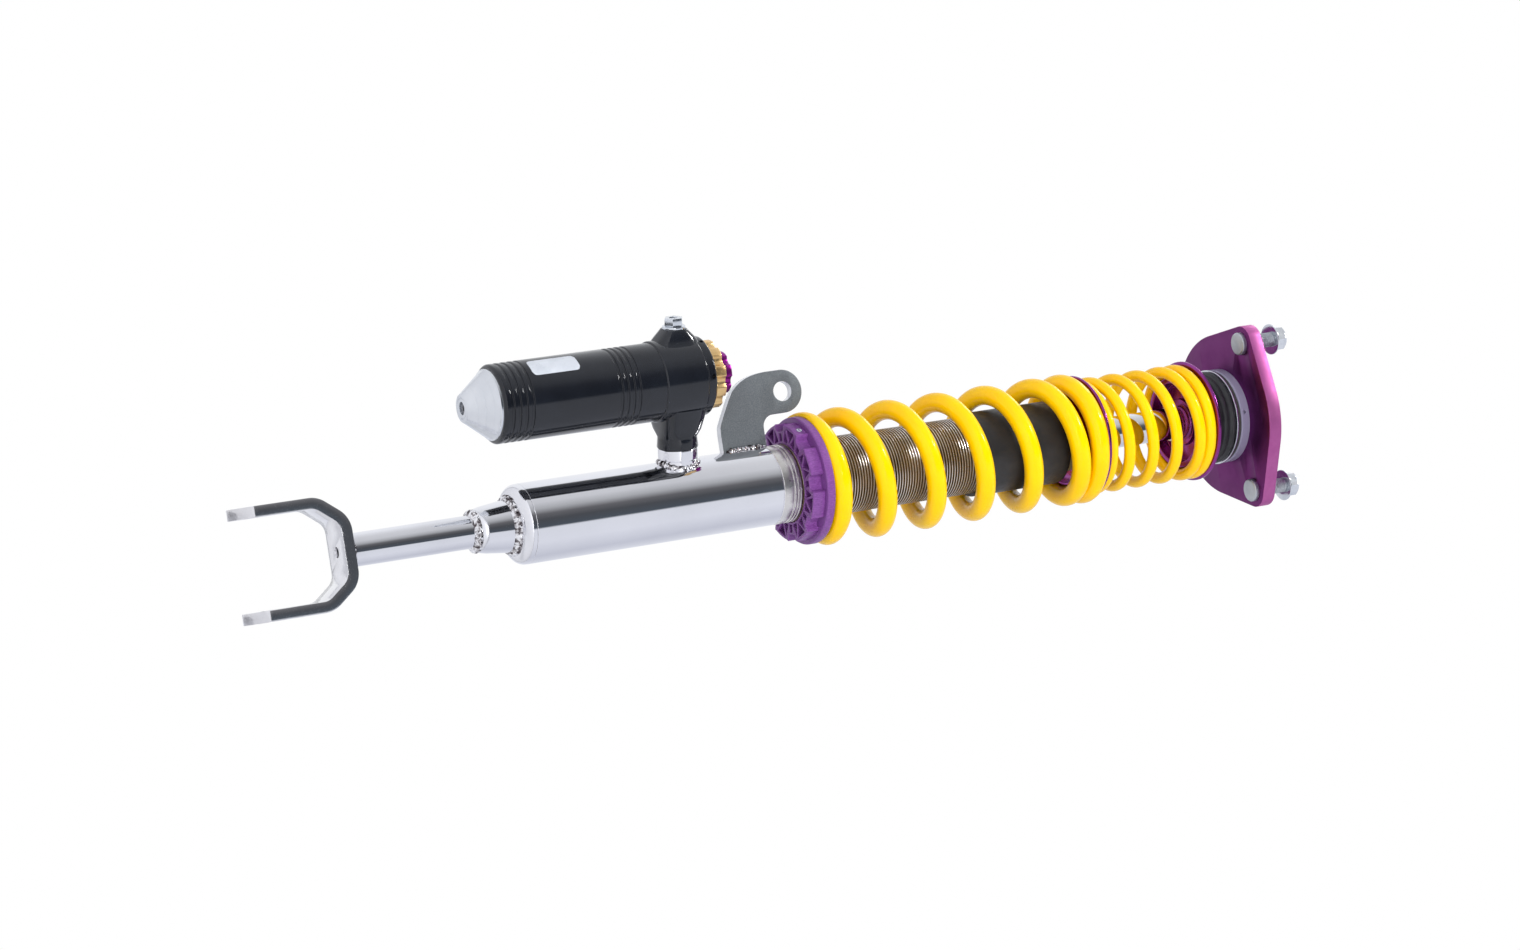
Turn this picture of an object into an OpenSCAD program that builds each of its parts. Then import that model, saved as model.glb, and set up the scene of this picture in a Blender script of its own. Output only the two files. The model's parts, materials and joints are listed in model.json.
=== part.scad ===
// Front coilover with a clevis fork, an external reservoir and a bolt-on top plate.
// Millimetres. The damper's axis is Z and the top mount is up. The origin is the centre of
// the fork's cross bolt, and the cross bolt's axis is X. The reservoir is on the -X side.

/* [Fork] */
// Clear gap between the fork's two arms
fork_gap = 58; // [50:1:75]
// Thickness of the fork's bent strap
strap_t = 7; // [5:0.5:9]
// Width of the strap along Y, which also rounds the arm ends
strap_w = 30; // [26:1:38]
// Distance from the cross bolt to the inner face of the fork's base
fork_depth = 51.5; // [45:0.5:70]
// Length of the slanted stretch at each corner of the fork
fork_corner = 14; // [8:1:18]
// Slant of that stretch, measured from the arm
fork_corner_angle = 38; // [30:1:50]
// Inner radius of the fork's bends
fork_bend_r = 6; // [4:0.5:8]
// Diameter of the cross bolt's holes
fork_bolt_d = 12.2; // [10:0.1:14]
// Diameter of the drain hole in the fork's base
fork_drain_d = 7; // [4:0.5:9]

/* [Neck] */
// Outer diameter of the neck tube
neck_d = 21.3; // [18:0.1:26]
// Wall of the neck tube
neck_wall = 3; // [2:0.5:4]
// Length of the neck tube that shows between the fork and the collar
neck_len = 86; // [60:1:120]
// Outer diameter of the collar between the neck and the damper tube
collar_d = 32; // [29:0.5:38]
// Length of the collar that shows
collar_len = 25; // [20:1:35]
// How deep the neck tube is set into the collar
neck_set = 12; // [6:1:16]
// Height of the weld fillets at the collar's two ends
weld_h = 7; // [4:0.5:9]

/* [Damper tube] */
// Outer diameter of the damper tube and of its thread
tube_d = 52; // [48:0.5:60]
// Wall of the damper tube
tube_wall = 3.5; // [3:0.25:4.5]
// Height of the tube's welded base
base_h = 8; // [6:1:14]
// Corner radius of the base
base_r = 5; // [2:0.5:5]
// Length of the polished stretch below the thread
plain_len = 188.5; // [150:0.5:240]
// Length of the threaded stretch
thread_len = 140; // [100:2:180]
// Length of the stretch above the thread, inside the black sleeve
bare_len = 64; // [50:1:90]
// Pitch of the perch's thread
thread_pitch = 2; // [1.5:0.5:3]
// Depth of the thread
thread_depth = 0.9; // [0.5:0.1:1]
// Wall of the black sleeve round the top of the tube
sleeve_wall = 3.3; // [2.5:0.1:3.5]

/* [Damper inside] */
// Radial gap between the pressure tube and the damper tube
oil_gap = 3; // [2:0.25:4]
// Wall of the pressure tube
pressure_wall = 1.5; // [1:0.25:2]
// Diameter of the piston rod
rod_d = 22; // [18:0.5:23]
// Diameter of the rod's stem through the top mount
stem_d = 14; // [12:0.5:15]
// Height of the piston
piston_h = 16; // [12:1:24]
// Height of the rod guide
guide_h = 22; // [18:1:30]
// Height of the bump stop
bump_h = 20; // [14:1:26]
// Radial clearance of everything that slides or turns
slide_fit = 0.05; // [0.03:0.01:0.08]

/* [Perch] */
// How far the perch's rim lies inside the main spring's outer edge
perch_inset = 2.45; // [1:0.05:4]
// How far the perch's hub lies inside its rim
hub_inset = 3; // [2:0.5:6]
// Whole height of the perch
perch_h = 14.7; // [13:0.1:18]
// Height of the perch's flange
flange_h = 6; // [5:0.5:7]
// Gap between the perch and the first thread at rest
perch_gap = 2.3; // [1:0.1:4]
// Number of spanner notches and of rib cells
perch_notches = 8; // [6:1:12]

/* [Springs] */
// Radial gap between the damper tube and the main spring
spring_gap = 5.75; // [4:0.25:8]
// Wire diameter of the main spring
main_wire = 13.2; // [12:0.1:14]
// Length of the main spring
main_len = 211; // [180:1:260]
// Turns of the main spring, with its flat ends
main_turns = 6.53; // [5:0.01:8]
// How much wider the helper spring's bore is than the main spring's
helper_wider = 1; // [0:0.5:4]
// Wire diameter of the helper spring
helper_wire = 8; // [6:0.1:9]
// Length of the helper spring
helper_len = 87; // [75:1:110]
// Turns of the helper spring, with its flat ends
helper_turns = 5.26; // [4:0.01:7]
// Thickness of the spacer ring's flange between the two springs
spacer_t = 2; // [1.5:0.5:4]

/* [Top mount] */
// Thickness of the top plate
plate_t = 10; // [8:0.5:14]
// Diameter of the round middle of the top plate
plate_d = 113; // [106:1:124]
// Radius of the circle of the three studs
stud_r = 59; // [56:0.5:66]
// Corner radius of the plate round each stud
plate_corner_r = 12; // [10:0.5:14]
// Thread diameter of the studs
stud_d = 10; // [8:1:12]
// Length of the studs above the plate
stud_len = 25; // [20:1:40]
// Gap between the plate and the flange nuts
nut_gap = 14; // [6:0.5:18]
// Direction of the first stud, turned from +X about Z
stud_angle = 97; // [0:1:119]
// Diameter of the isolator and the bearing rings
stack_d = 66; // [60:0.5:70]
// Height of the rubber isolator
isolator_h = 18.5; // [14:0.5:24]
// Height of the swivel bearing's grey ring
bearing_h = 6.5; // [5:0.5:9]
// Thickness of the upper spring seat's flange
seat_t = 3; // [2:0.5:5]

/* [Reservoir] */
// Outer diameter of the reservoir
res_d = 51; // [46:0.5:54]
// Wall of the reservoir
res_wall = 3; // [2.5:0.25:4]
// Gap between the damper tube and the reservoir's body
res_gap = 29; // [25:0.5:45]
// Direction of the reservoir, turned from +X about Z
res_angle = 196; // [150:1:230]
// Length of the black body, from the silver end cap to the end of its head
res_len = 149; // [130:1:180]
// Height of the head that carries the port
head_len = 36; // [34:1:44]
// Distance from the end of the head to the middle of the port
port_back = 18; // [17:0.5:20]
// Diameter of the port
port_d = 26; // [24:0.5:30]
// Height of the silver end cone
cone_h = 19; // [14:1:26]
// Diameter of the gold adjuster wheel
wheel_d = 45; // [40:0.5:47]
// Height of the gold adjuster wheel
wheel_h = 8; // [6:0.5:10]
// Diameter of the purple adjuster knob
knob_d = 28; // [22:0.5:32]
// Height of the purple adjuster knob
knob_h = 8; // [6:0.5:12]
// Distance from the thread down to the middle of the reservoir's port
port_down = 76; // [70:1:120]

/* [Stabiliser bracket] */
// Thickness of the bracket
bracket_t = 6; // [5:0.5:8]
// Diameter of the bracket's hole
bracket_hole_d = 13; // [10:0.1:14]
// Radius of the bracket's round end
bracket_end_r = 14.3; // [12:0.1:16]
// Gap between the main spring and the bracket's round end
bracket_gap = 1.05; // [1:0.05:6]
// How far above the top of the polished stretch the hole is
bracket_up = 9; // [6:1:20]

/* [Hidden] */
$fn = 96;
eps = 0.01;

// Levels along the damper's axis, from the fork upwards
z_base_out = fork_depth + strap_t;
z_collar = z_base_out + neck_len;
z_base = z_collar + collar_len;
z_tube = z_base + base_h;
z_thread = z_tube + plain_len;
z_bare = z_thread + thread_len;
z_tube_top = z_bare + bare_len;
z_perch = z_thread + perch_gap;
z_seat = z_perch + perch_h;
z_spacer = z_seat + main_len;
z_upper = z_spacer + spacer_t + helper_len;
z_isolator = z_upper + seat_t;
washer_t = 1.5;
z_washer = z_isolator + isolator_h;
seal_t = 2.5;
z_bearing = z_washer + washer_t + seal_t;
z_plate = z_bearing + bearing_h;
z_plate_top = z_plate + plate_t;

// Damper
tube_bore = tube_d - 2 * tube_wall;
bare_d = tube_d - 2;
sleeve_d = bare_d + 2 * sleeve_wall;
pressure_d = tube_bore - 2 * oil_gap;
bore_d = pressure_d - 2 * pressure_wall;
spigot_h = 6;
valve_h = 14;
z_valve = z_tube + spigot_h;
z_pressure = z_valve + 4;
z_guide = z_tube_top - guide_h;
seal_h = 6;
circlip_t = 1.6;
wiper_h = 4;
z_seal = z_tube_top - wiper_h - circlip_t - seal_h;
z_shoulder = z_upper - 14;
rebound_room = 79;
z_piston = z_guide - rebound_room - piston_h;
stack_r = stack_d / 2;

// Springs and perch
main_id = tube_d + 2 * spring_gap;
main_od = main_id + 2 * main_wire;
helper_id = main_id + helper_wider;
perch_d = main_od - 2 * perch_inset;
hub_d = perch_d - 2 * hub_inset;

// Reservoir
z_port = z_thread - port_down;
res_offset = tube_d / 2 + res_gap + res_d / 2;
z_head_end = z_port + port_back;
z_head = z_head_end - head_len;
z_res = z_head_end - res_len;
res_bore = res_d - 2 * res_wall;
cone_set = 10;
ring_h = 6;
head_roof = 20;
neck_r0 = tube_d / 2 + 9.5;
head_r = res_d / 2 + 1;
fp_h = 14;
head_set = 12;
head_seal_t = 1.6;

// Ball of the top bearing
ball_d = 26;
ball_h = 15;
race_d = 34;
race_h = plate_t - 1;
z_ball = z_plate + plate_t / 2;
z_ball_top = z_ball + ball_h / 2;
nut_h = 9;
stud_thread_d = stud_d - 0.4;
stud_press_d = stud_d + 1.2;

module ring(d_out, d_in, h) {
  difference() {
    cylinder(d = d_out, h = h);
    translate([0, 0, -1]) cylinder(d = d_in, h = h + 2);
  }
}

module up(z) { translate([0, 0, z]) children(); }

module hex_nut(across, bore, h) {
  difference() {
    cylinder(d = across / cos(30), h = h, $fn = 6);
    up(-1) cylinder(d = bore, h = h + 2, $fn = 48);
  }
}

// A wire of round section wound into a coil with closed ends: the last turn at each end lies
// flat until the next one has risen clear of it. The start is in turns from the -Y direction.
module coil(mean_d, wire, low, high, start, turns) {
  per_turn = 36;
  sides = 12;
  rise = 1.03 * wire;
  climb = rise * (turns - 2) / (high - low - 2 * rise);
  lift = start + 1 - climb;
  drop = start + turns - 1 + climb;
  slope = (high - low) / (drop - lift);
  steps = round(turns * per_turn);
  function level(t) = low + slope * (min(max(t, lift), drop) - lift);
  points = [
    for (i = [0 : steps], j = [0 : sides - 1])
      let (
        t = start + turns * i / steps,
        a = 270 + 360 * t,
        b = 360 * j / sides,
        r = mean_d / 2 + wire / 2 * cos(b)
      )
      [r * cos(a), r * sin(a), level(t) + wire / 2 * sin(b)]
  ];
  faces = [
    [for (j = [0 : sides - 1]) j],
    for (i = [0 : steps - 1], j = [0 : sides - 1])
      let (k = (j + 1) % sides)
      [i * sides + j, (i + 1) * sides + j, (i + 1) * sides + k, i * sides + k],
    [for (j = [0 : sides - 1]) (steps + 1) * sides - 1 - j]
  ];
  polyhedron(points = points, faces = faces, convexity = 10);
}

// ---- Fork and neck ----

arm_in = fork_gap / 2;
arm_out = arm_in + strap_t;
bend_x = arm_in - fork_bend_r;
base_x = bend_x - fork_corner * sin(fork_corner_angle);
base_z = fork_depth - fork_bend_r;
bend_z = base_z - fork_corner * cos(fork_corner_angle);

function arc(x, y, r, from, to, steps) = [
  for (i = [0 : steps])
    let (a = from + (to - from) * i / steps)
    [x + r * cos(a), y + r * sin(a)]
];
function mirrored(line) = [for (p = line) [-p[0], p[1]]];
function backwards(line) = [for (i = [len(line) - 1 : -1 : 0]) line[i]];

// One side of the bent strap, from the bolt's level up to the middle of the fork's base
function strap_side(r) = concat(
  [[bend_x + r, 0]],
  arc(bend_x, bend_z, r, 0, fork_corner_angle, 8),
  arc(base_x, base_z, r, fork_corner_angle, 90, 10)
);

module fork_yoke() {
  outer = strap_side(fork_bend_r + strap_t);
  inner = strap_side(fork_bend_r);
  color("gainsboro")
    difference() {
      union() {
        translate([0, strap_w / 2, 0])
          rotate([90, 0, 0])
            linear_extrude(strap_w)
              polygon(concat(
                outer, backwards(mirrored(outer)), mirrored(inner), backwards(inner)
              ));
        for (x = [arm_in, -arm_out])
          translate([x, 0, 0]) rotate([0, 90, 0]) cylinder(d = strap_w, h = strap_t);
      }
      translate([-fork_gap, 0, 0]) rotate([0, 90, 0]) cylinder(d = fork_bolt_d, h = 2 * fork_gap);
      up(fork_depth - 1) cylinder(d = fork_drain_d, h = strap_t + 2);
    }
}

module neck_tube() {
  color("silver") up(z_base_out) ring(neck_d, neck_d - 2 * neck_wall, neck_len + neck_set);
}

module neck_collar() {
  color("silver")
    up(z_collar)
      difference() {
        cylinder(d = collar_d, h = collar_len);
        up(-1) cylinder(d = neck_d, h = neck_set + 1);
        up(-1) cylinder(d = neck_d - 2 * neck_wall, h = collar_len - 4);
      }
}

// The round base that closes the tube, with a spigot that centres the tube on it
module tube_base() {
  r = tube_d / 2;
  color("silver")
    up(z_base) {
      rotate_extrude()
        difference() {
          square([r, base_h]);
          translate([r - base_r, 0])
            difference() {
              square([base_r + 1, base_r]);
              translate([0, base_r]) circle(r = base_r);
            }
        }
      up(base_h) cylinder(d = tube_bore, h = spigot_h);
    }
}

// A fillet ring between a thin tube and the shoulder of a thicker one
module fillet_ring(d_thin, d_thick, h) {
  rotate_extrude()
    polygon([
      [d_thin / 2, -h],
      [d_thin / 2 + 1.2, -h],
      [d_thick / 2 - 0.8, -0.8],
      [d_thick / 2 - 0.8, 0],
      [d_thin / 2, 0]
    ]);
}

bracket_low = z_thread - 40.5;
bracket_high = z_thread - 8.5;

module weld_beads() {
  color("lightgray") {
    difference() {
      up(z_base_out) cylinder(d1 = neck_d + 7, d2 = neck_d + 1, h = 4);
      up(z_base_out - 1) cylinder(d = neck_d, h = 6);
    }
    up(z_collar) fillet_ring(neck_d, collar_d, weld_h);
    up(z_base) fillet_ring(collar_d, tube_d - 2 * base_r + 4, weld_h);
    // round the port and along the two sides of the bracket
    difference() {
      at_port(tube_d / 2 - 3) cylinder(d1 = port_d + 8, d2 = port_d + 2, h = 7);
      cylinder(d = tube_d, h = z_tube_top);
      at_port(0) cylinder(d = port_d, h = neck_r0);
    }
    difference() {
      for (side = [-1, 1])
        translate([-tube_d / 2 + 0.5, side * bracket_t / 2, bracket_low + 1])
          cylinder(r = 3.5, h = bracket_high - bracket_low - 2);
      cylinder(d = tube_d, h = z_tube_top);
      translate([-tube_d, -bracket_t / 2, bracket_low - 1])
        cube([tube_d, bracket_t, bracket_high - bracket_low + 2]);
    }
  }
}

// ---- Damper tube and what closes it ----

module thread_profile(z0, length, r, pitch, depth) {
  turns = floor(length / pitch);
  for (i = [0 : turns - 1])
    translate([r, z0 + (i + 0.5) * pitch])
      polygon([[0.5, -0.45 * pitch], [0, -0.3 * pitch], [-depth, -0.12 * pitch],
               [-depth, 0.12 * pitch], [0, 0.3 * pitch], [0.5, 0.45 * pitch]]);
}

module damper_tube() {
  r = tube_d / 2;
  color("silver")
    difference() {
      rotate_extrude()
        difference() {
          translate([tube_bore / 2, z_tube]) square([tube_wall, z_tube_top - z_tube]);
          // two fine run-out grooves below the thread
          for (k = [0, 1]) translate([r - 0.6, z_thread - 4.4 + 2.4 * k]) square([1, 1]);
          thread_profile(z_thread, thread_len, r, thread_pitch, thread_depth);
          translate([bare_d / 2, z_bare]) square([3, bare_len + 1]);
        }
      at_port(0) cylinder(d = 8, h = tube_d);
    }
}

module black_sleeve() {
  lip = 2.5;
  color("#1c1c1e")
    rotate_extrude() {
      translate([bare_d / 2, z_bare]) square([sleeve_wall, bare_len]);
      translate([rod_d / 2 + 5, z_tube_top]) square([sleeve_d / 2 - rod_d / 2 - 5, lip]);
    }
}

module pressure_tube() {
  color("lightsteelblue") up(z_pressure) ring(pressure_d, bore_d, z_guide + 5 - z_pressure);
}

module base_valve() {
  color("goldenrod")
    up(z_valve)
      difference() {
        union() {
          cylinder(d = pressure_d, h = 4);
          cylinder(d = bore_d, h = valve_h);
        }
        up(5) cylinder(d = 8, h = valve_h);
        for (a = [0 : 60 : 300])
          rotate([0, 0, a]) translate([12, 0, 6]) cylinder(d = 4, h = valve_h);
        // cross ports to the annulus round the pressure tube
        for (a = [0 : 90 : 270])
          rotate([0, 0, a]) translate([0, 0, 2]) rotate([0, 90, 0]) cylinder(d = 2.5, h = tube_d);
        up(2) cylinder(d = 8, h = 4);
      }
}

module rod_guide() {
  lock = 5;
  color("dimgray")
    up(z_guide)
      difference() {
        union() {
          cylinder(d = bore_d, h = lock + eps);
          up(lock) cylinder(d = tube_bore, h = guide_h - lock - wiper_h - circlip_t);
        }
        up(-1) cylinder(d = rod_d + 3, h = guide_h);
        up(z_seal - z_guide) cylinder(d = rod_d + 12, h = guide_h);
      }
}

module guide_bush() {
  color("peru") up(z_guide) ring(rod_d + 3, rod_d + 2 * slide_fit, z_seal - z_guide);
}

module rod_seal() {
  color("#2a2a2a") up(z_seal) ring(rod_d + 12, rod_d + 2 * slide_fit, seal_h);
}

module seal_circlip() {
  color("gray") up(z_seal + seal_h) ring(tube_bore, rod_d + 16, circlip_t);
}

module rod_wiper() {
  color("#303030")
    up(z_seal + seal_h + circlip_t) ring(tube_bore, rod_d + 2 * slide_fit, wiper_h);
}

module bump_stop() {
  r = rod_d / 2;
  w = 10;
  color("#d8c9a0")
    up(z_tube_top + 2.5)
      rotate_extrude()
        difference() {
          translate([r + 0.5, 0]) square([w, bump_h]);
          for (k = [1, 2]) translate([r + 0.5 + w + 1, k * bump_h / 3]) circle(r = 2.6);
          translate([r + w - 1.5, bump_h - 2]) rotate([0, 0, -45]) square([6, 6]);
        }
}

// ---- Stabiliser bracket ----

hole_z = z_thread + bracket_up;
bracket_reach = main_od / 2 + bracket_gap + bracket_end_r;

// The outline in the bracket's own plane: x is the distance from the axis, y the height
module bracket_outline() {
  r = tube_d / 2;
  back = bracket_reach + bracket_end_r;
  front = bracket_reach - bracket_end_r;
  nook = 8;
  difference() {
    union() {
      polygon(concat(
        [
          [r - 2, bracket_low],
          [r + 15, bracket_low],
          [r + 19, bracket_low + 1.4],
          [back - 11, bracket_low + 11.6],
          [back - 7, bracket_low + 16],
          [back - 4, bracket_low + 20.5],
          [back - 1.7, bracket_low + 26],
          [back - 0.4, bracket_low + 32.5],
          [back, bracket_low + 39],
          [back, hole_z],
          [front, hole_z]
        ],
        arc(front - nook, bracket_high + nook, nook, 0, -90, 10),
        [[r - 2, bracket_high]]
      ));
      translate([bracket_reach, hole_z]) circle(r = bracket_end_r);
    }
    translate([bracket_reach, hole_z]) circle(d = bracket_hole_d);
  }
}

module stabiliser_bracket() {
  color("#6a7076")
    difference() {
      translate([0, -bracket_t / 2, 0])
        mirror([1, 0, 0])
          translate([0, bracket_t, 0]) rotate([90, 0, 0]) linear_extrude(bracket_t) bracket_outline();
      cylinder(d = tube_d, h = z_tube_top);
    }
}

// ---- Reservoir ----

// The children's +Z points along the port, away from the damper's axis
module at_port(out) {
  up(z_port)
    rotate([0, 0, res_angle])
      translate([out, 0, 0])
        rotate([0, 90, 0]) children();
}

// The children stand on the reservoir's own axis
module at_reservoir(z) {
  rotate([0, 0, res_angle]) translate([res_offset, 0, z]) children();
}

module port_boss() {
  color("silver")
    difference() {
      at_port(tube_d / 2 - 4) cylinder(d = port_d, h = neck_r0 - tube_d / 2 + 4);
      cylinder(d = tube_d, h = z_tube_top);
      at_port(0) cylinder(d = 8, h = tube_d);
    }
}

module reservoir_head() {
  color("#17181b")
    difference() {
      union() {
        at_reservoir(z_head) cylinder(r = head_r, h = head_len - ring_h);
        // the neck that widens from the port to the head
        at_port(neck_r0) cylinder(d1 = port_d + 1, d2 = port_d + 4, h = 8);
        at_port(neck_r0 + 8 - eps) cylinder(d = port_d + 4, h = res_offset - neck_r0 - 8);
        // the lug on the far side, with a flat for the bolt
        at_port(res_offset) cylinder(d = port_d - 3, h = head_r + 7);
      }
      at_reservoir(z_head - 1) cylinder(d = res_bore + 2, h = head_len - head_roof);
      at_reservoir(z_head + 4) cylinder(d = res_bore - 8, h = head_len);
      at_reservoir(z_head - 30) cylinder(d = res_d, h = 30 + head_set + head_seal_t);
      at_reservoir(z_head_end - ring_h) cylinder(r = head_r, h = ring_h + 10);
      at_port(0) cylinder(d = 8, h = res_offset);
      at_port(res_offset + res_bore / 2) cylinder(d = 8, h = 40);
    }
}

module head_bolt() {
  color("silver")
    difference() {
      union() {
        at_port(res_offset + head_r + 7) cylinder(d = 16, h = 2);
        at_port(res_offset + head_r + 8.5) cylinder(d = 12, h = 6, $fn = 6);
        at_port(res_offset + res_bore / 2 + 1) cylinder(d = 8, h = head_r + 7 - res_bore / 2);
      }
      at_port(res_offset + head_r + 11) cylinder(d = 6, h = 6, $fn = 6);
    }
}

module groove_set(r, first, count, step) {
  for (k = [0 : count - 1]) translate([r - 0.7, first + k * step]) square([1.5, 1.5]);
}

module reservoir_body() {
  r = res_d / 2;
  length = z_head + head_set - z_res;
  color("#15161a")
    at_reservoir(z_res)
      rotate_extrude()
        difference() {
          translate([res_bore / 2, 0]) square([res_wall, length]);
          groove_set(r, 5, 4, 4.6);
          groove_set(r, 80.5, 4, 4.2);
        }
}

module end_cone() {
  r = res_d / 2 - 1;
  tip = 9;
  color("silver")
    at_reservoir(z_res)
      rotate_extrude()
        difference() {
          polygon([
            [0, -cone_h],
            [tip, -cone_h],
            [tip + 1, -cone_h + 1.5],
            [r - 0.6, -2],
            [r, -1.2],
            [r, 0],
            [res_bore / 2, 0],
            [res_bore / 2, cone_set],
            [0, cone_set]
          ]);
          translate([0, -cone_h - 1]) square([4, 7]);
          translate([0, -cone_h]) square([2, cone_h + cone_set + 1]);
          translate([res_bore / 2 - 2, 5]) square([3, 2.6]);
        }
}

module gas_valve() {
  color("dimgray")
    at_reservoir(z_res - cone_h)
      difference() {
        up(1.5) cylinder(r = 4, h = 4.5);
        up(1) cylinder(d = 3.6, h = 3, $fn = 6);
      }
}

module cap_seal() {
  color("#202020") at_reservoir(z_res + 5) ring(res_bore, res_bore - 4, 2.6);
}

module head_seal() {
  color("#202020") at_reservoir(z_head + head_set) ring(res_d, res_bore + 2, head_seal_t);
}

module valve_cartridge() {
  color("lightgray")
    at_reservoir(z_head + 15)
      difference() {
        union() {
          cylinder(d = res_bore - 8, h = head_len - ring_h - 15);
          up(head_len - ring_h - 15) cylinder(d = 12, h = wheel_h + ring_h + 4);
        }
        up(-1) cylinder(d = 6, h = 12);
        at_valve_port();
      }
}

// The oil passage from the port into the valve, below the middle of the head
module at_valve_port() {
  translate([-res_bore, 0, z_port - z_head - 15]) rotate([0, 90, 0]) cylinder(d = 8, h = res_bore);
}

module end_ring() {
  color("#1b1c1f")
    difference() {
      at_reservoir(z_head_end - ring_h) ring(2 * head_r - 1, 12, ring_h);
      // holes for a pin spanner in the rim
      for (a = [20 : 60 : 320])
        at_reservoir(z_head_end - ring_h / 2)
          rotate([0, 0, a]) translate([head_r - 4, 0, 0]) rotate([0, 90, 0]) cylinder(d = 2.6, h = 5);
    }
}

z_float = z_res + cone_set + 42;

module floating_piston() {
  color("darkgray")
    at_reservoir(z_float)
      rotate_extrude()
        difference() {
          square([res_bore / 2 - slide_fit, fp_h]);
          translate([0, 4]) square([res_bore / 2 - 6, fp_h]);
          translate([res_bore / 2 - 2.5, fp_h / 2 - 1.3]) square([3, 2.6]);
        }
}

module floating_piston_seal() {
  color("#202020")
    at_reservoir(z_float + fp_h / 2 - 1.3)
      ring(res_bore - 2 * slide_fit, res_bore - 5, 2.6);
}

module lobed(d, bite, count, h) {
  difference() {
    cylinder(d = d, h = h);
    for (i = [0 : count - 1])
      rotate([0, 0, 360 * i / count])
        translate([d / 2 + bite * 0.45, 0, -1]) cylinder(r = bite, h = h + 2, $fn = 32);
  }
}

module adjuster_wheel() {
  color("#d8b26a")
    at_reservoir(z_head_end + 0.3)
      difference() {
        lobed(wheel_d, 4.2, 10, wheel_h);
        up(-1) cylinder(d = 12 + 2 * slide_fit, h = wheel_h + 2);
      }
}

module adjuster_knob() {
  color("#8a2a86")
    at_reservoir(z_head_end + wheel_h + 0.6)
      difference() {
        lobed(knob_d, 4, 6, knob_h);
        up(-1) cylinder(d = 12 + 2 * slide_fit, h = 5);
      }
}

// ---- Perch ----

module slip_ring() {
  color("silver") up(z_seat - 1) ring(perch_d - 4, main_id - 3, 1);
}

module perch_collar() {
  r = perch_d / 2;
  hub = hub_d / 2;
  hub_h = perch_h - flange_h;
  bore = tube_d / 2 + slide_fit;
  cell = 360 / perch_notches;
  near = bore + 2.5;
  far = hub - 2.2;
  near_w = near * tan(cell / 2) - 5;
  far_w = far * tan(cell / 2) - 5;
  color("#7a4388")
    difference() {
      up(z_perch)
        rotate_extrude()
          difference() {
            polygon([
              [bore, 0],
              [hub - 1, 0],
              [hub, 1],
              [hub, hub_h],
              [r - 0.8, hub_h + 3.4],
              [r, hub_h + 4],
              [r, perch_h],
              [bore, perch_h]
            ]);
            translate([main_id / 2 - 1.6, perch_h - 1]) square([r - main_id / 2 - 0.3, 2]);
          }
      // spanner notches in the hub's rim
      for (i = [0 : perch_notches - 1])
        rotate([0, 0, cell * i + notch_phase])
          translate([hub - 5.4, -4.4, z_perch - 1]) cube([10, 8.8, hub_h]);
      // the pockets between the ribs of the hub's lower face, with a boss left for the lock screw
      difference() {
        for (i = [0 : perch_notches - 1])
          rotate([0, 0, cell * (i + 0.5) + notch_phase])
            up(z_perch - 1)
              linear_extrude(hub_h)
                difference() {
                  polygon([[near, -near_w], [far, -far_w], [far, far_w], [near, near_w]]);
                  for (side = [-1, 1])
                    polygon([[bore, side * 0.2], [hub, side * 7.6], [hub, side * 5.4], [bore, side * -1.6]]);
                }
        rotate([0, 0, lock_angle])
          translate([tube_d / 2, -3.6, z_perch - 2]) cube([hub - tube_d / 2, 7.2, hub_h + 2]);
      }
      lock_screw_hole();
    }
}

lock_angle = 213;
notch_phase = 5;

module lock_screw_hole() {
  rotate([0, 0, lock_angle])
    translate([tube_d / 2, 0, z_perch + 0.6 * (perch_h - flange_h)])
      rotate([0, 90, 0]) cylinder(d = 4, h = perch_d, $fn = 48);
}

module perch_lock_screw() {
  color("silver")
    intersection() {
      lock_screw_hole();
      up(z_perch) ring(hub_d - 0.8, tube_d + 2 * slide_fit + 0.4, perch_h);
    }
}

// ---- Springs ----

module main_spring() {
  color("#ffc800")
    coil(main_id + main_wire, main_wire,
         z_seat + main_wire / 2 + 0.02, z_spacer - main_wire / 2 - 0.02,
         -0.48, main_turns);
}

module spacer_ring() {
  guide_h = 13;
  guide_t = 2;
  guide_d = main_id - 1.2;
  color("#7d3a80")
    up(z_spacer)
      rotate_extrude() {
        translate([guide_d / 2 - guide_t, 0])
          square([perch_d / 2 + 0.3 - guide_d / 2 + guide_t, spacer_t]);
        translate([guide_d / 2 - guide_t, -guide_h]) square([guide_t, guide_h + spacer_t + 9]);
      }
}

module helper_spring() {
  color("#ffc800")
    coil(helper_id + helper_wire, helper_wire,
         z_spacer + spacer_t + helper_wire / 2 + 0.02, z_upper - helper_wire / 2 - 0.02,
         -0.26, helper_turns);
}

// ---- Rod ----

z_stem_top = z_ball_top + nut_h + 3;

module piston_rod() {
  spindle_d = 6;
  color("#d9dde0")
    difference() {
      union() {
        up(z_piston - 14) cylinder(d = 12, h = 15 + piston_h);
        up(z_piston + piston_h) cylinder(d = rod_d, h = z_shoulder - z_piston - piston_h);
        up(z_shoulder - eps) cylinder(d = stem_d, h = z_stem_top - z_shoulder);
      }
      up(z_stem_top - 12) cylinder(d = spindle_d, h = 13);
    }
}

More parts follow.
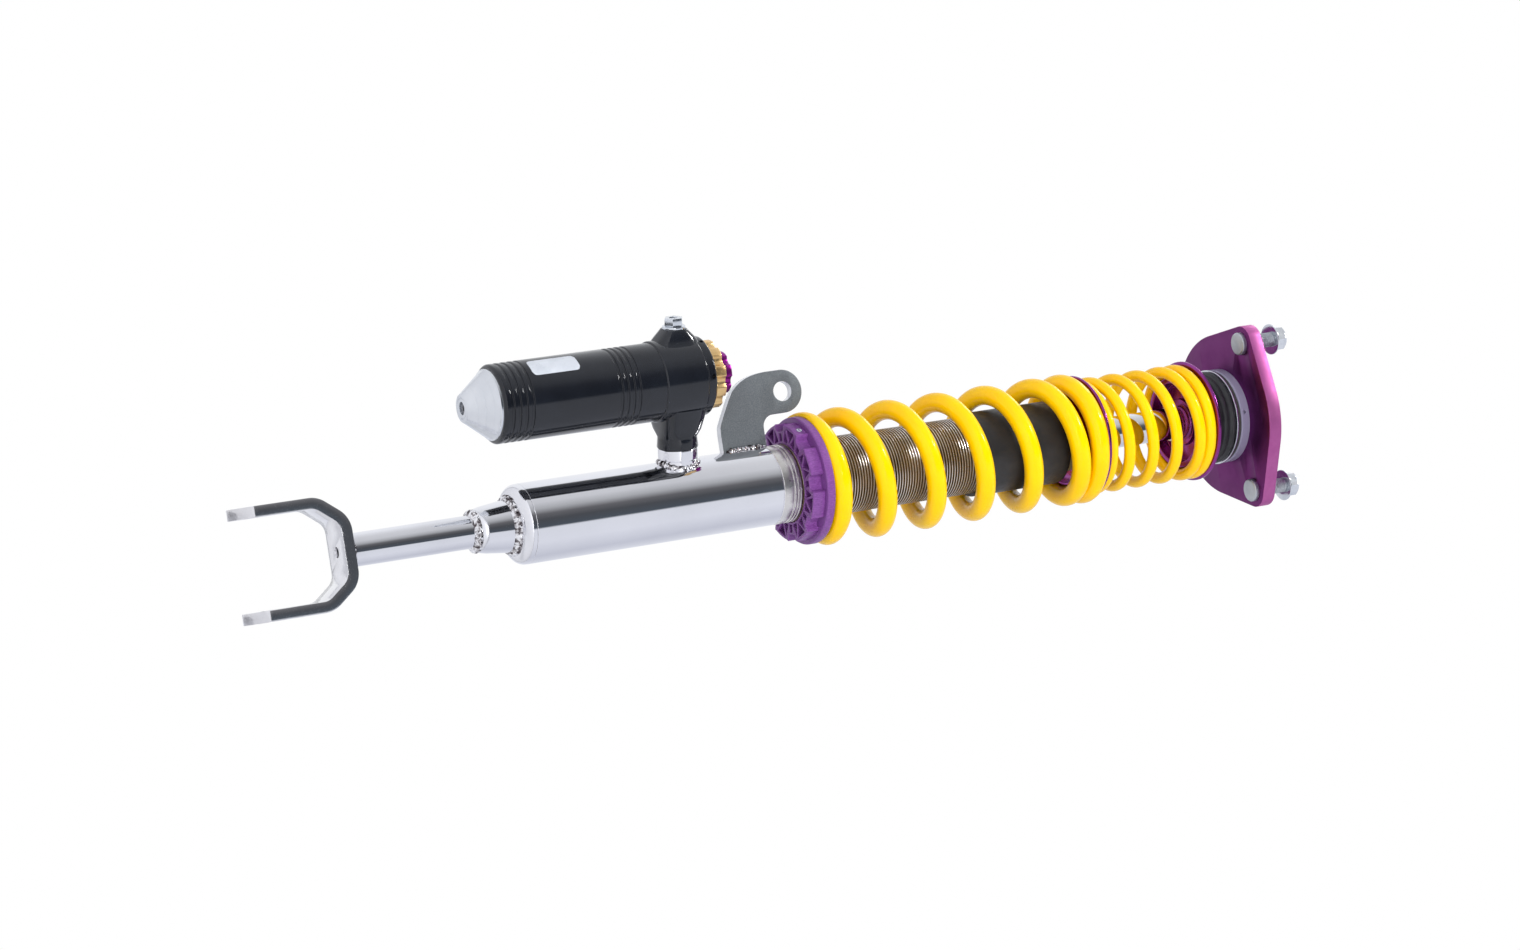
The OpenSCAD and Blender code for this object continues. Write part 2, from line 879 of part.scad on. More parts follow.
module piston() {
  port_r = (rod_d + bore_d - 3) / 4;
  color("darkkhaki")
    difference() {
      up(z_piston) cylinder(d = bore_d - 2 * slide_fit, h = piston_h);
      up(z_piston - 1) cylinder(d = 12, h = piston_h + 2);
      up(z_piston + 4) ring(bore_d + 4, bore_d - 3, piston_h - 8);
      for (a = [0 : 60 : 300])
        rotate([0, 0, a]) translate([port_r, 0, z_piston - 1]) cylinder(d = 3.6, h = piston_h + 2);
    }
}

module piston_band() {
  color("#3a2d25") up(z_piston + 4) ring(bore_d - 2 * slide_fit, bore_d - 3, piston_h - 8);
}

module rebound_shims() {
  color("lightgray") up(z_piston - 2) ring(bore_d - 5, 12, 2);
}

module piston_nut() {
  color("gray") up(z_piston - 10) hex_nut(19, 12, 8);
}

module rod_spacer() {
  color("#cfd3d6")
    up(z_shoulder)
      difference() {
        rotate_extrude()
          polygon([[0, 0], [rod_d / 2 + 1, 0], [rod_d / 2 + 2, 1.5], [rod_d / 2 + 2, 4],
                   [rod_d / 2, 7], [rod_d / 2, z_ball - ball_h / 2 - z_shoulder],
                   [0, z_ball - ball_h / 2 - z_shoulder]]);
        up(-1) cylinder(d = stem_d, h = 100);
      }
}

module upper_spring_seat() {
  guide = helper_id / 2 - 0.6;
  guide_h = 9;
  bore = rod_d / 2 + 0.2;
  color("#7d3a80")
    up(z_upper)
      rotate_extrude() {
        translate([bore, 0]) square([perch_d / 2 - 0.3 - bore, seat_t]);
        translate([guide - 4, -guide_h]) square([4, guide_h + eps]);
        translate([bore, -4]) square([5, 4 + eps]);
      }
}

module rubber_isolator() {
  color("#17181a")
    up(z_isolator)
      rotate_extrude()
        difference() {
          translate([rod_d / 2 + 3, 0]) square([stack_r - 0.5 - rod_d / 2 - 3, isolator_h]);
          for (k = [1 : 3]) translate([stack_r, k * isolator_h / 4]) circle(r = 1.7);
        }
}

module isolator_washer() {
  color("silver") up(z_washer) ring(stack_d, rod_d + 8, washer_t);
}

module bearing_ball() {
  color("#b9bdc2")
    difference() {
      up(z_ball)
        intersection() {
          sphere(d = ball_d);
          up(-ball_h / 2) cylinder(d = ball_d + 2, h = ball_h);
        }
      up(z_plate - 20) cylinder(d = stem_d, h = 60);
    }
}

module top_nut() {
  color("silver") up(z_ball_top) hex_nut(22, stem_d, nut_h);
}

module rebound_knob() {
  color("#c9a24e") {
    up(z_stem_top + 0.3) lobed(12, 1.8, 8, 4);
    up(z_stem_top - 11) cylinder(d = 6 - 2 * slide_fit, h = 11.5);
  }
}

// ---- Top plate ----

module bearing_seal() {
  color("#202124") up(z_washer + washer_t) ring(stack_d - 1.4, ball_d + 6, seal_t - 0.1);
}

module swivel_bearing() {
  color("#9a90a8")
    up(z_bearing)
      difference() {
        ring(stack_d - 0.6, ball_d + 6, bearing_h);
        rotate([0, 0, 270]) translate([stack_r - 1.4, -1.2, bearing_h / 2 - 1]) cube([4, 2.4, 2]);
      }
}

// A round middle with a round corner at each stud, joined by straight flanks
module plate_outline() {
  big = plate_d / 2;
  a = acos((big - plate_corner_r) / stud_r);
  polygon([
    for (i = [0 : 2])
      let (b = stud_angle + 120 * i)
      each concat(
        arc(stud_r * cos(b), stud_r * sin(b), plate_corner_r, b - a, b + a, 14),
        arc(0, 0, big, b + a, b + 120 - a, 16)
      )
  ]);
}

module mount_plate() {
  color("#6b2f66")
    difference() {
      up(z_plate) linear_extrude(plate_t) plate_outline();
      up(z_plate - 1) cylinder(d = race_d - 4, h = plate_t + 2);
      up(z_ball - race_h / 2) cylinder(d = race_d, h = plate_t);
      for_studs() up(z_plate - 1) cylinder(d = stud_press_d, h = plate_t + 2);
    }
}

module for_studs() {
  for (i = [0 : 2]) rotate([0, 0, stud_angle + 120 * i]) translate([stud_r, 0, 0]) children();
}

module bearing_race() {
  color("#8f949a")
    up(z_ball)
      difference() {
        up(-race_h / 2) cylinder(d = race_d, h = race_h - 0.4);
        sphere(d = ball_d + 2 * slide_fit);
      }
}

module race_circlip() {
  color("gray")
    up(z_ball + race_h / 2 - 0.4) ring(race_d, race_d - 5, z_plate_top - z_ball - race_h / 2 + 0.4);
}

module plate_studs() {
  head_h = 3.2;
  color("silver")
    for_studs() {
      up(z_plate - head_h) cylinder(d = 15.6, h = head_h);
      up(z_plate - eps) cylinder(d = stud_press_d, h = plate_t + eps);
      up(z_plate_top - eps) cylinder(d = stud_d, h = nut_gap - 0.5 + eps);
      up(z_plate_top - 1) cylinder(d = stud_thread_d, h = stud_len + 1);
    }
}

module stud_nuts() {
  flange_t = 2.4;
  color("silver")
    for_studs()
      up(z_plate_top + nut_gap)
        difference() {
          union() {
            cylinder(d1 = 2.15 * stud_d, d2 = 2 * stud_d, h = flange_t);
            cylinder(d = 1.5 * stud_d / cos(30), h = 0.95 * stud_d, $fn = 6);
          }
          up(-1) cylinder(d = stud_thread_d, h = 2 * stud_d);
        }
}

fork_yoke();
neck_tube();
neck_collar();
tube_base();
weld_beads();
damper_tube();
black_sleeve();
pressure_tube();
base_valve();
rod_guide();
guide_bush();
rod_seal();
seal_circlip();
rod_wiper();
bump_stop();
stabiliser_bracket();
port_boss();
reservoir_head();
head_bolt();
reservoir_body();
end_cone();
gas_valve();
cap_seal();
head_seal();
valve_cartridge();
end_ring();
floating_piston();
floating_piston_seal();
adjuster_wheel();
adjuster_knob();
slip_ring();
main_spring();
perch_collar();
perch_lock_screw();
spacer_ring();
piston_rod();
piston();
piston_band();
piston_nut();
rebound_shims();
rod_spacer();
upper_spring_seat();
helper_spring();
rubber_isolator();
isolator_washer();
bearing_ball();
top_nut();
rebound_knob();
bearing_seal();
swivel_bearing();
mount_plate();
bearing_race();
race_circlip();
plate_studs();
stud_nuts();
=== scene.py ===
"""Front coilover with a clevis fork, a side reservoir and a studded top plate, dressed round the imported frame."""
import json
import math

import bmesh
import bpy
from mathutils import Matrix, Vector
from mathutils.geometry import tessellate_polygon


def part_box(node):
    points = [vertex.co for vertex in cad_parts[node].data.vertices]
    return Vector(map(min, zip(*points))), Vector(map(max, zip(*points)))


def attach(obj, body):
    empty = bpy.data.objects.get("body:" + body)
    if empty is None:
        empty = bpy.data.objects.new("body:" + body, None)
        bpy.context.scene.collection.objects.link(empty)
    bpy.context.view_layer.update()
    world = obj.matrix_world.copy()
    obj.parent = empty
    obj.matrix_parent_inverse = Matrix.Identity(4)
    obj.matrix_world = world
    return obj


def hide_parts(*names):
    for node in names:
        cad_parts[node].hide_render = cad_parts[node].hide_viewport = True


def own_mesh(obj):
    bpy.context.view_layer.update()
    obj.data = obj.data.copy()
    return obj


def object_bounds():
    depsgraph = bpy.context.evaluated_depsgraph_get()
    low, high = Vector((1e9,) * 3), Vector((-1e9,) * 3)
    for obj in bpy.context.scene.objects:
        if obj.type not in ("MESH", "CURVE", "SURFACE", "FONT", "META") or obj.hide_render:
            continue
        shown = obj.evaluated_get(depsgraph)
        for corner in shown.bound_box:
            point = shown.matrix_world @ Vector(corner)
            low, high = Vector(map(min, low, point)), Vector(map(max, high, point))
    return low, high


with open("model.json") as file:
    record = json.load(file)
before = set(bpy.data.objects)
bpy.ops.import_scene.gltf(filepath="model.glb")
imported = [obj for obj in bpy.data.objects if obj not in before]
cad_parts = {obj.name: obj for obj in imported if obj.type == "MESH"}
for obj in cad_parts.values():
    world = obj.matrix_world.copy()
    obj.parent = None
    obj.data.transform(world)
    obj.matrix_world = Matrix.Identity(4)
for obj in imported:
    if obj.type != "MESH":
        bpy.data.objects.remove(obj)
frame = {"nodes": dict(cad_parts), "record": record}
cad_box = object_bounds()
scene = bpy.context.scene
MM = 0.001
TAU = 2 * math.pi


def lo(node, axis=2):
    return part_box(node)[0][axis] / MM


def hi(node, axis=2):
    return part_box(node)[1][axis] / MM


# ---------------------------------------------------------------- materials

class Mat:
    """A node material. Coordinates are the object's own, in metres."""

    def __init__(self, name, **sockets):
        self.m = bpy.data.materials.new(name)
        self.m.use_nodes = True
        self.t = self.m.node_tree
        self.b = self.t.nodes["Principled BSDF"]
        for key, value in sockets.items():
            s = self.b.inputs[key.replace("_", " ")]
            s.default_value = (*value, 1) if isinstance(value, tuple) and len(value) == 3 else value
        self.xyz = self.add("ShaderNodeTexCoord").outputs["Object"]

    def add(self, kind, props=None, **inputs):
        n = self.t.nodes.new(kind)
        for k, v in (props or {}).items():
            setattr(n, k, v)
        for k, v in inputs.items():
            s = n.inputs[k.replace("_", " ")]
            if isinstance(v, bpy.types.NodeSocket):
                self.t.links.new(v, s)
            else:
                s.default_value = v
        return n

    def stretch(self, x, y, z):
        return self.add("ShaderNodeMapping", Vector=self.xyz, Scale=(x, y, z)).outputs[0]

    def noise(self, scale, detail=4.0, rough=0.55, vector=None, distortion=0.0):
        return self.add("ShaderNodeTexNoise", Vector=vector or self.xyz, Scale=scale, Detail=detail,
                        Roughness=rough, Distortion=distortion).outputs["Fac"]

    def ramp(self, fac, stops, mode="LINEAR"):
        n = self.add("ShaderNodeValToRGB", Fac=fac)
        n.color_ramp.interpolation = mode
        e = n.color_ramp.elements
        while len(e) < len(stops):
            e.new(0.5)
        for el, (pos, col) in zip(e, stops):
            el.position = pos
            el.color = (*col, 1) if len(col) == 3 else col
        return n.outputs["Color"]

    def grey(self, fac, a, b, p0=0.3, p1=0.7):
        return self.add("ShaderNodeMapRange", Value=fac, **{"From_Min": p0, "From_Max": p1, "To_Min": a,
                "To_Max": b}).outputs[0]

    def put(self, key, socket):
        self.t.links.new(socket, self.b.inputs[key])
        return self

    def bump(self, height, strength, distance, chain=None):
        n = self.add("ShaderNodeBump", Height=height, Strength=strength, Distance=distance)
        if chain is not None:
            self.t.links.new(chain, n.inputs["Normal"])
        self.t.links.new(n.outputs[0], self.b.inputs["Normal"])
        return n.outputs[0]


def metal(name, dark, light, rough, lines=None, fine=0.02, blotch=25.0, coat=0.0, metallic=1.0):
    """A metal with cloudy tone, varying roughness and, if asked, fine turning lines along Z."""
    m = Mat(name, Metallic=metallic, Coat_Weight=coat, Coat_Roughness=0.08)
    cloud = m.noise(blotch, 5.0)
    m.put("Base Color", m.ramp(cloud, [(0.3, dark), (0.7, light)]))
    m.put("Roughness", m.grey(m.noise(blotch * 9, 6.0), rough[0], rough[1]))
    n = m.bump(m.noise(2600.0, 3.0), fine, 0.0004)
    if lines:
        n = m.bump(m.noise(lines, 2.0, vector=m.stretch(0.02, 0.02, 1.0)), 0.12, 0.0003, n)
    return m.m


def coated(name, tone, dark, light, rough, grain, bump=None, light_at=0.75, **sockets):
    """Paint, rubber or plastic. tone is the scale of its clouds, grain the (scale, detail) of its roughness,
    and bump the (scale, detail, strength, distance) of its surface."""
    m = Mat(name, Metallic=0.0, **sockets)
    m.put("Base Color", m.ramp(m.noise(tone), [(0.3, dark), (light_at, light)]))
    m.put("Roughness", m.grey(m.noise(*grain), *rough))
    if bump:
        scale, detail, strength, distance = bump
        m.bump(m.noise(scale, detail), strength, distance)
    return m


# dark tone, light tone, roughness from and to, and what differs from metal()'s own values
METALS = {
    "polished_steel": ((0.80, 0.80, 0.83), (0.90, 0.90, 0.93), (0.035, 0.10), dict(fine=0.006, blotch=12.0)),
    "stainless_tube": ((0.80, 0.80, 0.83), (0.90, 0.90, 0.93), (0.03, 0.10), dict(fine=0.006, blotch=10.0)),
    "polished_strap": ((0.80, 0.79, 0.80), (0.93, 0.93, 0.95), (0.06, 0.16), dict(fine=0.012, blotch=45.0)),
    # thread_root is a shaded copy of the thread's metal: its near-black brown is painted shade in the grooves between
    # the crests
    "thread_root": ((0.13, 0.10, 0.065), (0.24, 0.18, 0.11), (0.32, 0.46), dict(fine=0.01, blotch=60.0)),
    "thread_crest": ((0.78, 0.75, 0.71), (0.90, 0.88, 0.85), (0.26, 0.38), dict(fine=0.01, blotch=60.0)),
    "cut_steel": ((0.62, 0.63, 0.65), (0.86, 0.87, 0.89), (0.10, 0.24), dict(blotch=90.0)),
    # purple_edge is a lighter, pinker copy of purple_plate: painted highlight along the plate's edges
    "purple_edge": ((0.46, 0.10, 0.33), (0.60, 0.17, 0.44), (0.46, 0.58), dict(blotch=30.0)),
    "matt_zinc": ((0.44, 0.47, 0.50), (0.60, 0.62, 0.65), (0.40, 0.55), dict(fine=0.03, blotch=80.0)),
    "hard_chrome": ((0.78, 0.77, 0.76), (0.86, 0.86, 0.86), (0.03, 0.07), dict(fine=0.004, blotch=14.0)),
    "inner_steel": ((0.42, 0.43, 0.45), (0.60, 0.61, 0.63), (0.2, 0.35), dict(lines=3000.0)),
    "inner_alloy": ((0.58, 0.59, 0.61), (0.74, 0.75, 0.77), (0.2, 0.35), dict(lines=3000.0)),
    "bright_alloy": ((0.62, 0.65, 0.69), (0.80, 0.82, 0.85), (0.16, 0.26), dict(lines=2600.0, blotch=18.0)),
    "brass": ((0.55, 0.40, 0.16), (0.72, 0.55, 0.25), (0.2, 0.35), dict(lines=3000.0)),
    "bronze": ((0.36, 0.24, 0.12), (0.52, 0.36, 0.20), (0.3, 0.5), {}),
    "spring_steel": ((0.16, 0.16, 0.17), (0.30, 0.30, 0.32), (0.25, 0.4), {}),
    "zinc": ((0.62, 0.66, 0.72), (0.86, 0.88, 0.90), (0.10, 0.24), dict(blotch=60.0)),
    "gold_anodised": ((0.78, 0.50, 0.20), (0.92, 0.66, 0.33), (0.28, 0.42), dict(lines=2200.0, blotch=50.0)),
    "magenta_anodised": ((0.22, 0.012, 0.20), (0.38, 0.03, 0.33), (0.26, 0.4), dict(blotch=60.0)),
    "purple_anodised": ((0.20, 0.03, 0.19), (0.36, 0.07, 0.33), (0.14, 0.28), dict(lines=2400.0, blotch=30.0)),
    "purple_plate": ((0.14, 0.022, 0.13), (0.22, 0.048, 0.20), (0.34, 0.46), dict(blotch=14.0)),
    "lavender_ring": ((0.22, 0.20, 0.29), (0.30, 0.28, 0.38), (0.35, 0.5), dict(lines=2400.0, metallic=0.3)),
}
# what coated() takes after the name, in its order, and then its options
COATINGS = {
    "black_sleeve": (60.0, (0.012, 0.012, 0.013), (0.024, 0.024, 0.026), (0.35, 0.52), (300.0, 5.0),
                     dict(bump=(2400.0, 3.0, 0.10, 0.0003))),
    "yellow_spring": (35.0, (1.0, 0.56, 0.0), (1.0, 0.62, 0.0), (0.24, 0.36), (400.0, 4.0),
                      dict(bump=(700.0, 2.0, 0.05, 0.0004), light_at=0.7, Coat_Weight=0.4, Coat_Roughness=0.06,
                           Specular_IOR_Level=0.05)),
    "black_rubber": (120.0, (0.008, 0.008, 0.009), (0.02, 0.02, 0.022), (0.34, 0.55), (500.0, 5.0),
                     dict(bump=(1500.0, 3.0, 0.08, 0.0003), Coat_Weight=0.1, Coat_Roughness=0.3)),
    "seal_rubber": (200.0, (0.01, 0.01, 0.01), (0.03, 0.03, 0.03), (0.5, 0.7), (500.0, 5.0), {}),
    "black_ptfe": (200.0, (0.018, 0.016, 0.014), (0.035, 0.03, 0.028), (0.3, 0.5), (500.0, 5.0), {}),
    "bump_foam": (900.0, (0.42, 0.34, 0.16), (0.58, 0.48, 0.26), (0.6, 0.85), (500.0, 5.0),
                  dict(bump=(1600.0, 4.0, 0.3, 0.0004))),
    "plain_label": (90.0, (0.50, 0.53, 0.58), (0.62, 0.65, 0.70), (0.25, 0.4), (500.0, 5.0),
                    dict(Coat_Weight=0.3, Coat_Roughness=0.15)),
}


def build_materials():
    s = {name: metal(name, *look, **options) for name, (*look, options) in METALS.items()}
    s.update({name: coated(name, *look, **options).m for name, (*look, options) in COATINGS.items()})

    m = Mat("weld_metal", Metallic=1.0)
    # random near-black patches among bright metal are painted dark reflections in the weld's ripples
    m.put("Base Color", m.ramp(m.noise(330.0, 3.0, distortion=0.6), [(0.40, (0.10, 0.085, 0.09)),
            (0.50, (0.62, 0.60, 0.61)), (0.56, (0.95, 0.95, 0.97))]))
    m.put("Roughness", m.grey(m.noise(700.0, 4.0), 0.04, 0.14))
    m.bump(m.noise(420.0, 3.0), 0.35, 0.0008)
    s["weld_metal"] = m.m

    m = coated("black_anodised", 30.0, (0.005, 0.006, 0.009), (0.010, 0.012, 0.017), (0.09, 0.17), (260.0, 6.0),
               Coat_Weight=0.25, Coat_Roughness=0.12, IOR=1.45)
    m.bump(m.noise(3000.0, 2.0, vector=m.stretch(0.03, 0.03, 1.0)), 0.05, 0.0003)
    s["black_anodised"] = m.m

    m = Mat("purple_composite", Metallic=0.0, Coat_Weight=0.15, Coat_Roughness=0.35)
    flecks = m.noise(1500.0, 3.0, vector=m.stretch(1.0, 1.0, 0.35))
    m.put("Base Color", m.ramp(flecks, [(0.30, (0.14, 0.036, 0.19)), (0.55, (0.195, 0.058, 0.26)),
                                        (0.78, (0.26, 0.09, 0.33))]))
    m.put("Roughness", m.grey(m.noise(500.0, 5.0), 0.38, 0.55))
    m.bump(m.noise(1800.0, 4.0), 0.10, 0.0003)
    s["purple_composite"] = m.m

    m = Mat("grey_bracket", Metallic=0.35)
    n = m.noise(1400.0, 6.0, 0.7)
    cloud = m.noise(45.0, 4.0)
    base = m.ramp(n, [(0.32, (0.10, 0.115, 0.125)), (0.52, (0.155, 0.17, 0.18)), (0.74, (0.24, 0.255, 0.265))])
    tone = m.ramp(cloud, [(0.3, (0.85, 0.85, 0.85)), (0.7, (1.0, 1.0, 1.0))])
    mix = m.add("ShaderNodeMix", {"data_type": "RGBA", "blend_type": "MULTIPLY"})
    mix.inputs["Factor"].default_value = 1.0
    m.t.links.new(base, mix.inputs[6])
    m.t.links.new(tone, mix.inputs[7])
    m.put("Base Color", mix.outputs[2])
    m.put("Roughness", m.grey(m.noise(700.0, 5.0), 0.38, 0.6))
    m.bump(n, 0.12, 0.0003)
    s["grey_bracket"] = m.m
    return s


MATS = build_materials()
SLOT = {e["node"]: e["material_slot"] for e in frame["record"]["subparts"]}
for node, ob in frame["nodes"].items():
    ob.data.materials.clear()
    ob.data.materials.append(MATS[SLOT[node]])


# ---------------------------------------------------------------- mesh tools

def new_object(name, bm, matrix=None):
    """Turns bm into an object of the scene, and frees it."""
    me = bpy.data.meshes.new(name)
    bm.to_mesh(me)
    bm.free()
    if matrix is not None:
        me.transform(matrix)
    ob = bpy.data.objects.new(name, me)
    scene.collection.objects.link(ob)
    return ob


def loft(bm, rings, caps=False, loop=False):
    """Joins neighbouring rings of vertices. caps closes both ends, and loop joins the last ring to the first."""
    count = len(rings[0])
    for a, b in zip(rings, rings[1:] + (rings[:1] if loop else [])):
        for j in range(count):
            k = (j + 1) % count
            bm.faces.new((a[j], a[k], b[k], b[j]))
    if caps:
        bm.faces.new(rings[0][::-1])
        bm.faces.new(rings[-1])


def finish_mesh(name, bm, slot, body, nodes=(), angle=35.0, matrix=None, bevel=0.0, rim=None, side=None):
    """rim names more materials, and side(normal, centre) gives each face its number among them."""
    bmesh.ops.remove_doubles(bm, verts=bm.verts, dist=1e-7)
    bmesh.ops.recalc_face_normals(bm, faces=bm.faces)
    ob = new_object(name, bm, matrix)
    if bevel:
        b = ob.modifiers.new("edges", "BEVEL")
        b.width = bevel * MM
        b.segments = 2
        b.limit_method = "ANGLE"
        b.angle_limit = math.radians(32)
        b.harden_normals = False
        bake(ob)
    me = ob.data
    me.materials.clear()
    me.materials.append(MATS[slot])
    if rim:
        for extra in rim.split():
            me.materials.append(MATS[extra])
        for f in me.polygons:
            f.material_index = int(side(f.normal, f.center))
    me.shade_smooth()
    me.set_sharp_from_angle(angle=math.radians(angle))
    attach(ob, body)
    if nodes:
        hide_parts(*nodes)
    return ob


def bake(ob):
    """Applies the object's modifiers to its mesh."""
    dg = bpy.context.evaluated_depsgraph_get()
    me = bpy.data.meshes.new_from_object(ob.evaluated_get(dg))
    ob.modifiers.clear()
    ob.data = me


def soften(points, closed=True, n=3):
    """Rounds the corners of a profile of (a, b) or (a, b, radius) points, in mm."""
    out = []
    count = len(points)
    for i, p in enumerate(points):
        r = p[2] if len(p) > 2 else 0
        if not r or (not closed and i in (0, count - 1)):
            out.append((p[0], p[1]))
            continue
        c = Vector(p[:2])
        a = Vector(points[i - 1][:2]) - c
        b = Vector(points[(i + 1) % count][:2]) - c
        r = min(r, a.length * 0.45, b.length * 0.45)
        pa, pb = c + a.normalized() * r, c + b.normalized() * r
        for k in range(n + 1):
            t = k / n
            q = pa * (1 - t) ** 2 + c * 2 * t * (1 - t) + pb * t ** 2
            out.append((q.x, q.y))
    return out


def revolve(bm, profile, seg=96, closed=True, at=(0.0, 0.0)):
    """Turns a profile of (radius, height) in mm about the Z axis through at."""
    rings = []
    for r, z in profile:
        if r < 1e-6:
            v = bm.verts.new((at[0] * MM, at[1] * MM, z * MM))
            rings.append([v] * seg)
            continue
        ring = []
        for j in range(seg):
            a = TAU * j / seg
            ring.append(bm.verts.new(((at[0] + r * math.cos(a)) * MM, (at[1] + r * math.sin(a)) * MM, z * MM)))
        rings.append(ring)
    pairs = list(zip(rings, rings[1:])) + ([(rings[-1], rings[0])] if closed else [])
    for a, b in pairs:
        for j in range(seg):
            k = (j + 1) % seg
            vs = []
            for v in (a[j], a[k], b[k], b[j]):
                if v not in vs:
                    vs.append(v)
            if len(vs) > 2:
                bm.faces.new(vs)


def lathe(name, profile, slot, body, nodes=(), seg=128, closed=True, at=(0, 0), angle=35.0, matrix=None):
    bm = bmesh.new()
    revolve(bm, soften(profile, closed), seg, closed, at)
    return finish_mesh(name, bm, slot, body, nodes, angle, matrix)


def area(loop):
    return sum(a[0] * b[1] - b[0] * a[1] for a, b in zip(loop, loop[1:] + loop[:1])) / 2


def inset(loop, d):
    """Moves a closed loop to its left by d, along the bisector at each point."""
    out = []
    n = len(loop)
    for i in range(n):
        p, q, r = (Vector(loop[i - 1]), Vector(loop[i]), Vector(loop[(i + 1) % n]))
        a, b = (q - p).normalized(), (r - q).normalized()
        na, nb = Vector((-a.y, a.x)), Vector((-b.y, b.x))
        m = na + nb
        m = m / max(m.length_squared / 2, 0.5)
        out.append((q.x + m.x * d, q.y + m.y * d))
    return out


def slab(bm, outer, holes, z0, z1, bevel, steps=2, frame_of=None):
    """A plate of the outline and holes in mm, from z0 to z1, with rounded rims.
    frame_of maps (x, y, z) in mm to a point."""
    place = frame_of or (lambda x, y, z: (x, y, z))
    loops = [outer if area(outer) > 0 else outer[::-1]] + [h if area(h) < 0 else h[::-1] for h in holes]
    levels = []
    for k in range(steps + 1):
        t = math.pi / 2 * k / steps
        levels.append((bevel * (1 - math.sin(t)), z0 + bevel * (1 - math.cos(t))))
    levels += [(d, z0 + z1 - z) for d, z in levels[::-1]]
    caps = {0: [], len(levels) - 1: []}
    for loop in loops:
        rings = []
        for d, z in levels:
            rings.append([bm.verts.new(Vector(place(x, y, z)) * MM) for x, y in (inset(loop, d) if d > 1e-9 else loop)])
        loft(bm, rings)
        for key in caps:
            caps[key].append((rings[key], inset(loop, bevel)))
    for key, parts in caps.items():
        verts = [v for ring, _ in parts for v in ring]
        polys = [[Vector((x, y, 0)) for x, y in flat] for _, flat in parts]
        for tri in tessellate_polygon(polys):
            try:
                bm.faces.new([verts[i] for i in tri])
            except ValueError:
                pass


def circle(x, y, r, n=48, start=0.0):
    return [(x + r * math.cos(start + TAU * i / n), y + r * math.sin(start + TAU * i / n)) for i in range(n)]


def arc(x, y, r, a, b, n):
    return [(x + r * math.cos(math.radians(a + (b - a) * i / n)), y + r * math.sin(math.radians(a + (b - a) * i / n)))
            for i in range(n + 1)]


def cylinder_cutter(r, p, q, seg=64):
    """An object to cut a round hole from p to q, in mm."""
    bm = bmesh.new()
    p, q = Vector(p), Vector(q)
    rot = (q - p).to_track_quat("Z", "Y").to_matrix()
    rings = [[bm.verts.new((c + rot @ Vector((r * math.cos(TAU * j / seg), r * math.sin(TAU * j / seg), 0))) * MM)
              for j in range(seg)] for c in (p, q)]
    loft(bm, rings, caps=True)
    bmesh.ops.recalc_face_normals(bm, faces=bm.faces)
    return new_object("cutter", bm)


def cut(bm, cutters):
    """Returns bm with each cutter object taken away from it."""
    bmesh.ops.remove_doubles(bm, verts=bm.verts, dist=1e-7)
    bmesh.ops.recalc_face_normals(bm, faces=bm.faces)
    ob = new_object("blank", bm)
    for c in cutters:
        m = ob.modifiers.new("cut", "BOOLEAN")
        m.operation = "DIFFERENCE"
        m.solver = "EXACT"
        m.object = c
    bake(ob)
    out = bmesh.new()
    out.from_mesh(ob.data)
    for o in [ob] + cutters:
        bpy.data.objects.remove(o)
    return out


# ---------------------------------------------------------------- levels and centres

Z_BASE = lo("tube_base")
Z_TUBE = lo("damper_tube")
Z_TOP = hi("damper_tube")
R_TUBE = hi("damper_tube", 0)
Z_PERCH, Z_SEAT = lo("perch_collar"), hi("perch_collar")
Z_THREAD = Z_PERCH - 2.3
Z_BARE = lo("black_sleeve")
RES = ((lo("reservoir_body", 0) + hi("reservoir_body", 0)) / 2, (lo("reservoir_body", 1) + hi("reservoir_body", 1)) / 2)
Z_RES = lo("reservoir_body")
RES_R = (hi("reservoir_body", 0) - lo("reservoir_body", 0)) / 2
RES_TURN = math.atan2(RES[1], RES[0])
RES_OUT = math.hypot(*RES)
Z_PORT = (lo("port_boss") + hi("port_boss")) / 2
PORT_END = R_TUBE + 9.5  # how far the silver port ring reaches out from the damper's axis
Z_PLATE, Z_PLATE_TOP = lo("mount_plate"), hi("mount_plate")

# port frame: local +Z points from the damper's axis to the reservoir
PORT = Matrix.Translation((0, 0, Z_PORT * MM)) @ Matrix.Rotation(RES_TURN, 4, "Z") @ Matrix.Rotation(math.pi / 2, 4,
        "Y")


# ---------------------------------------------------------------- fork and neck

STRAP_T, BOLT_R, DRAIN_R = 7.0, 6.1, 3.5


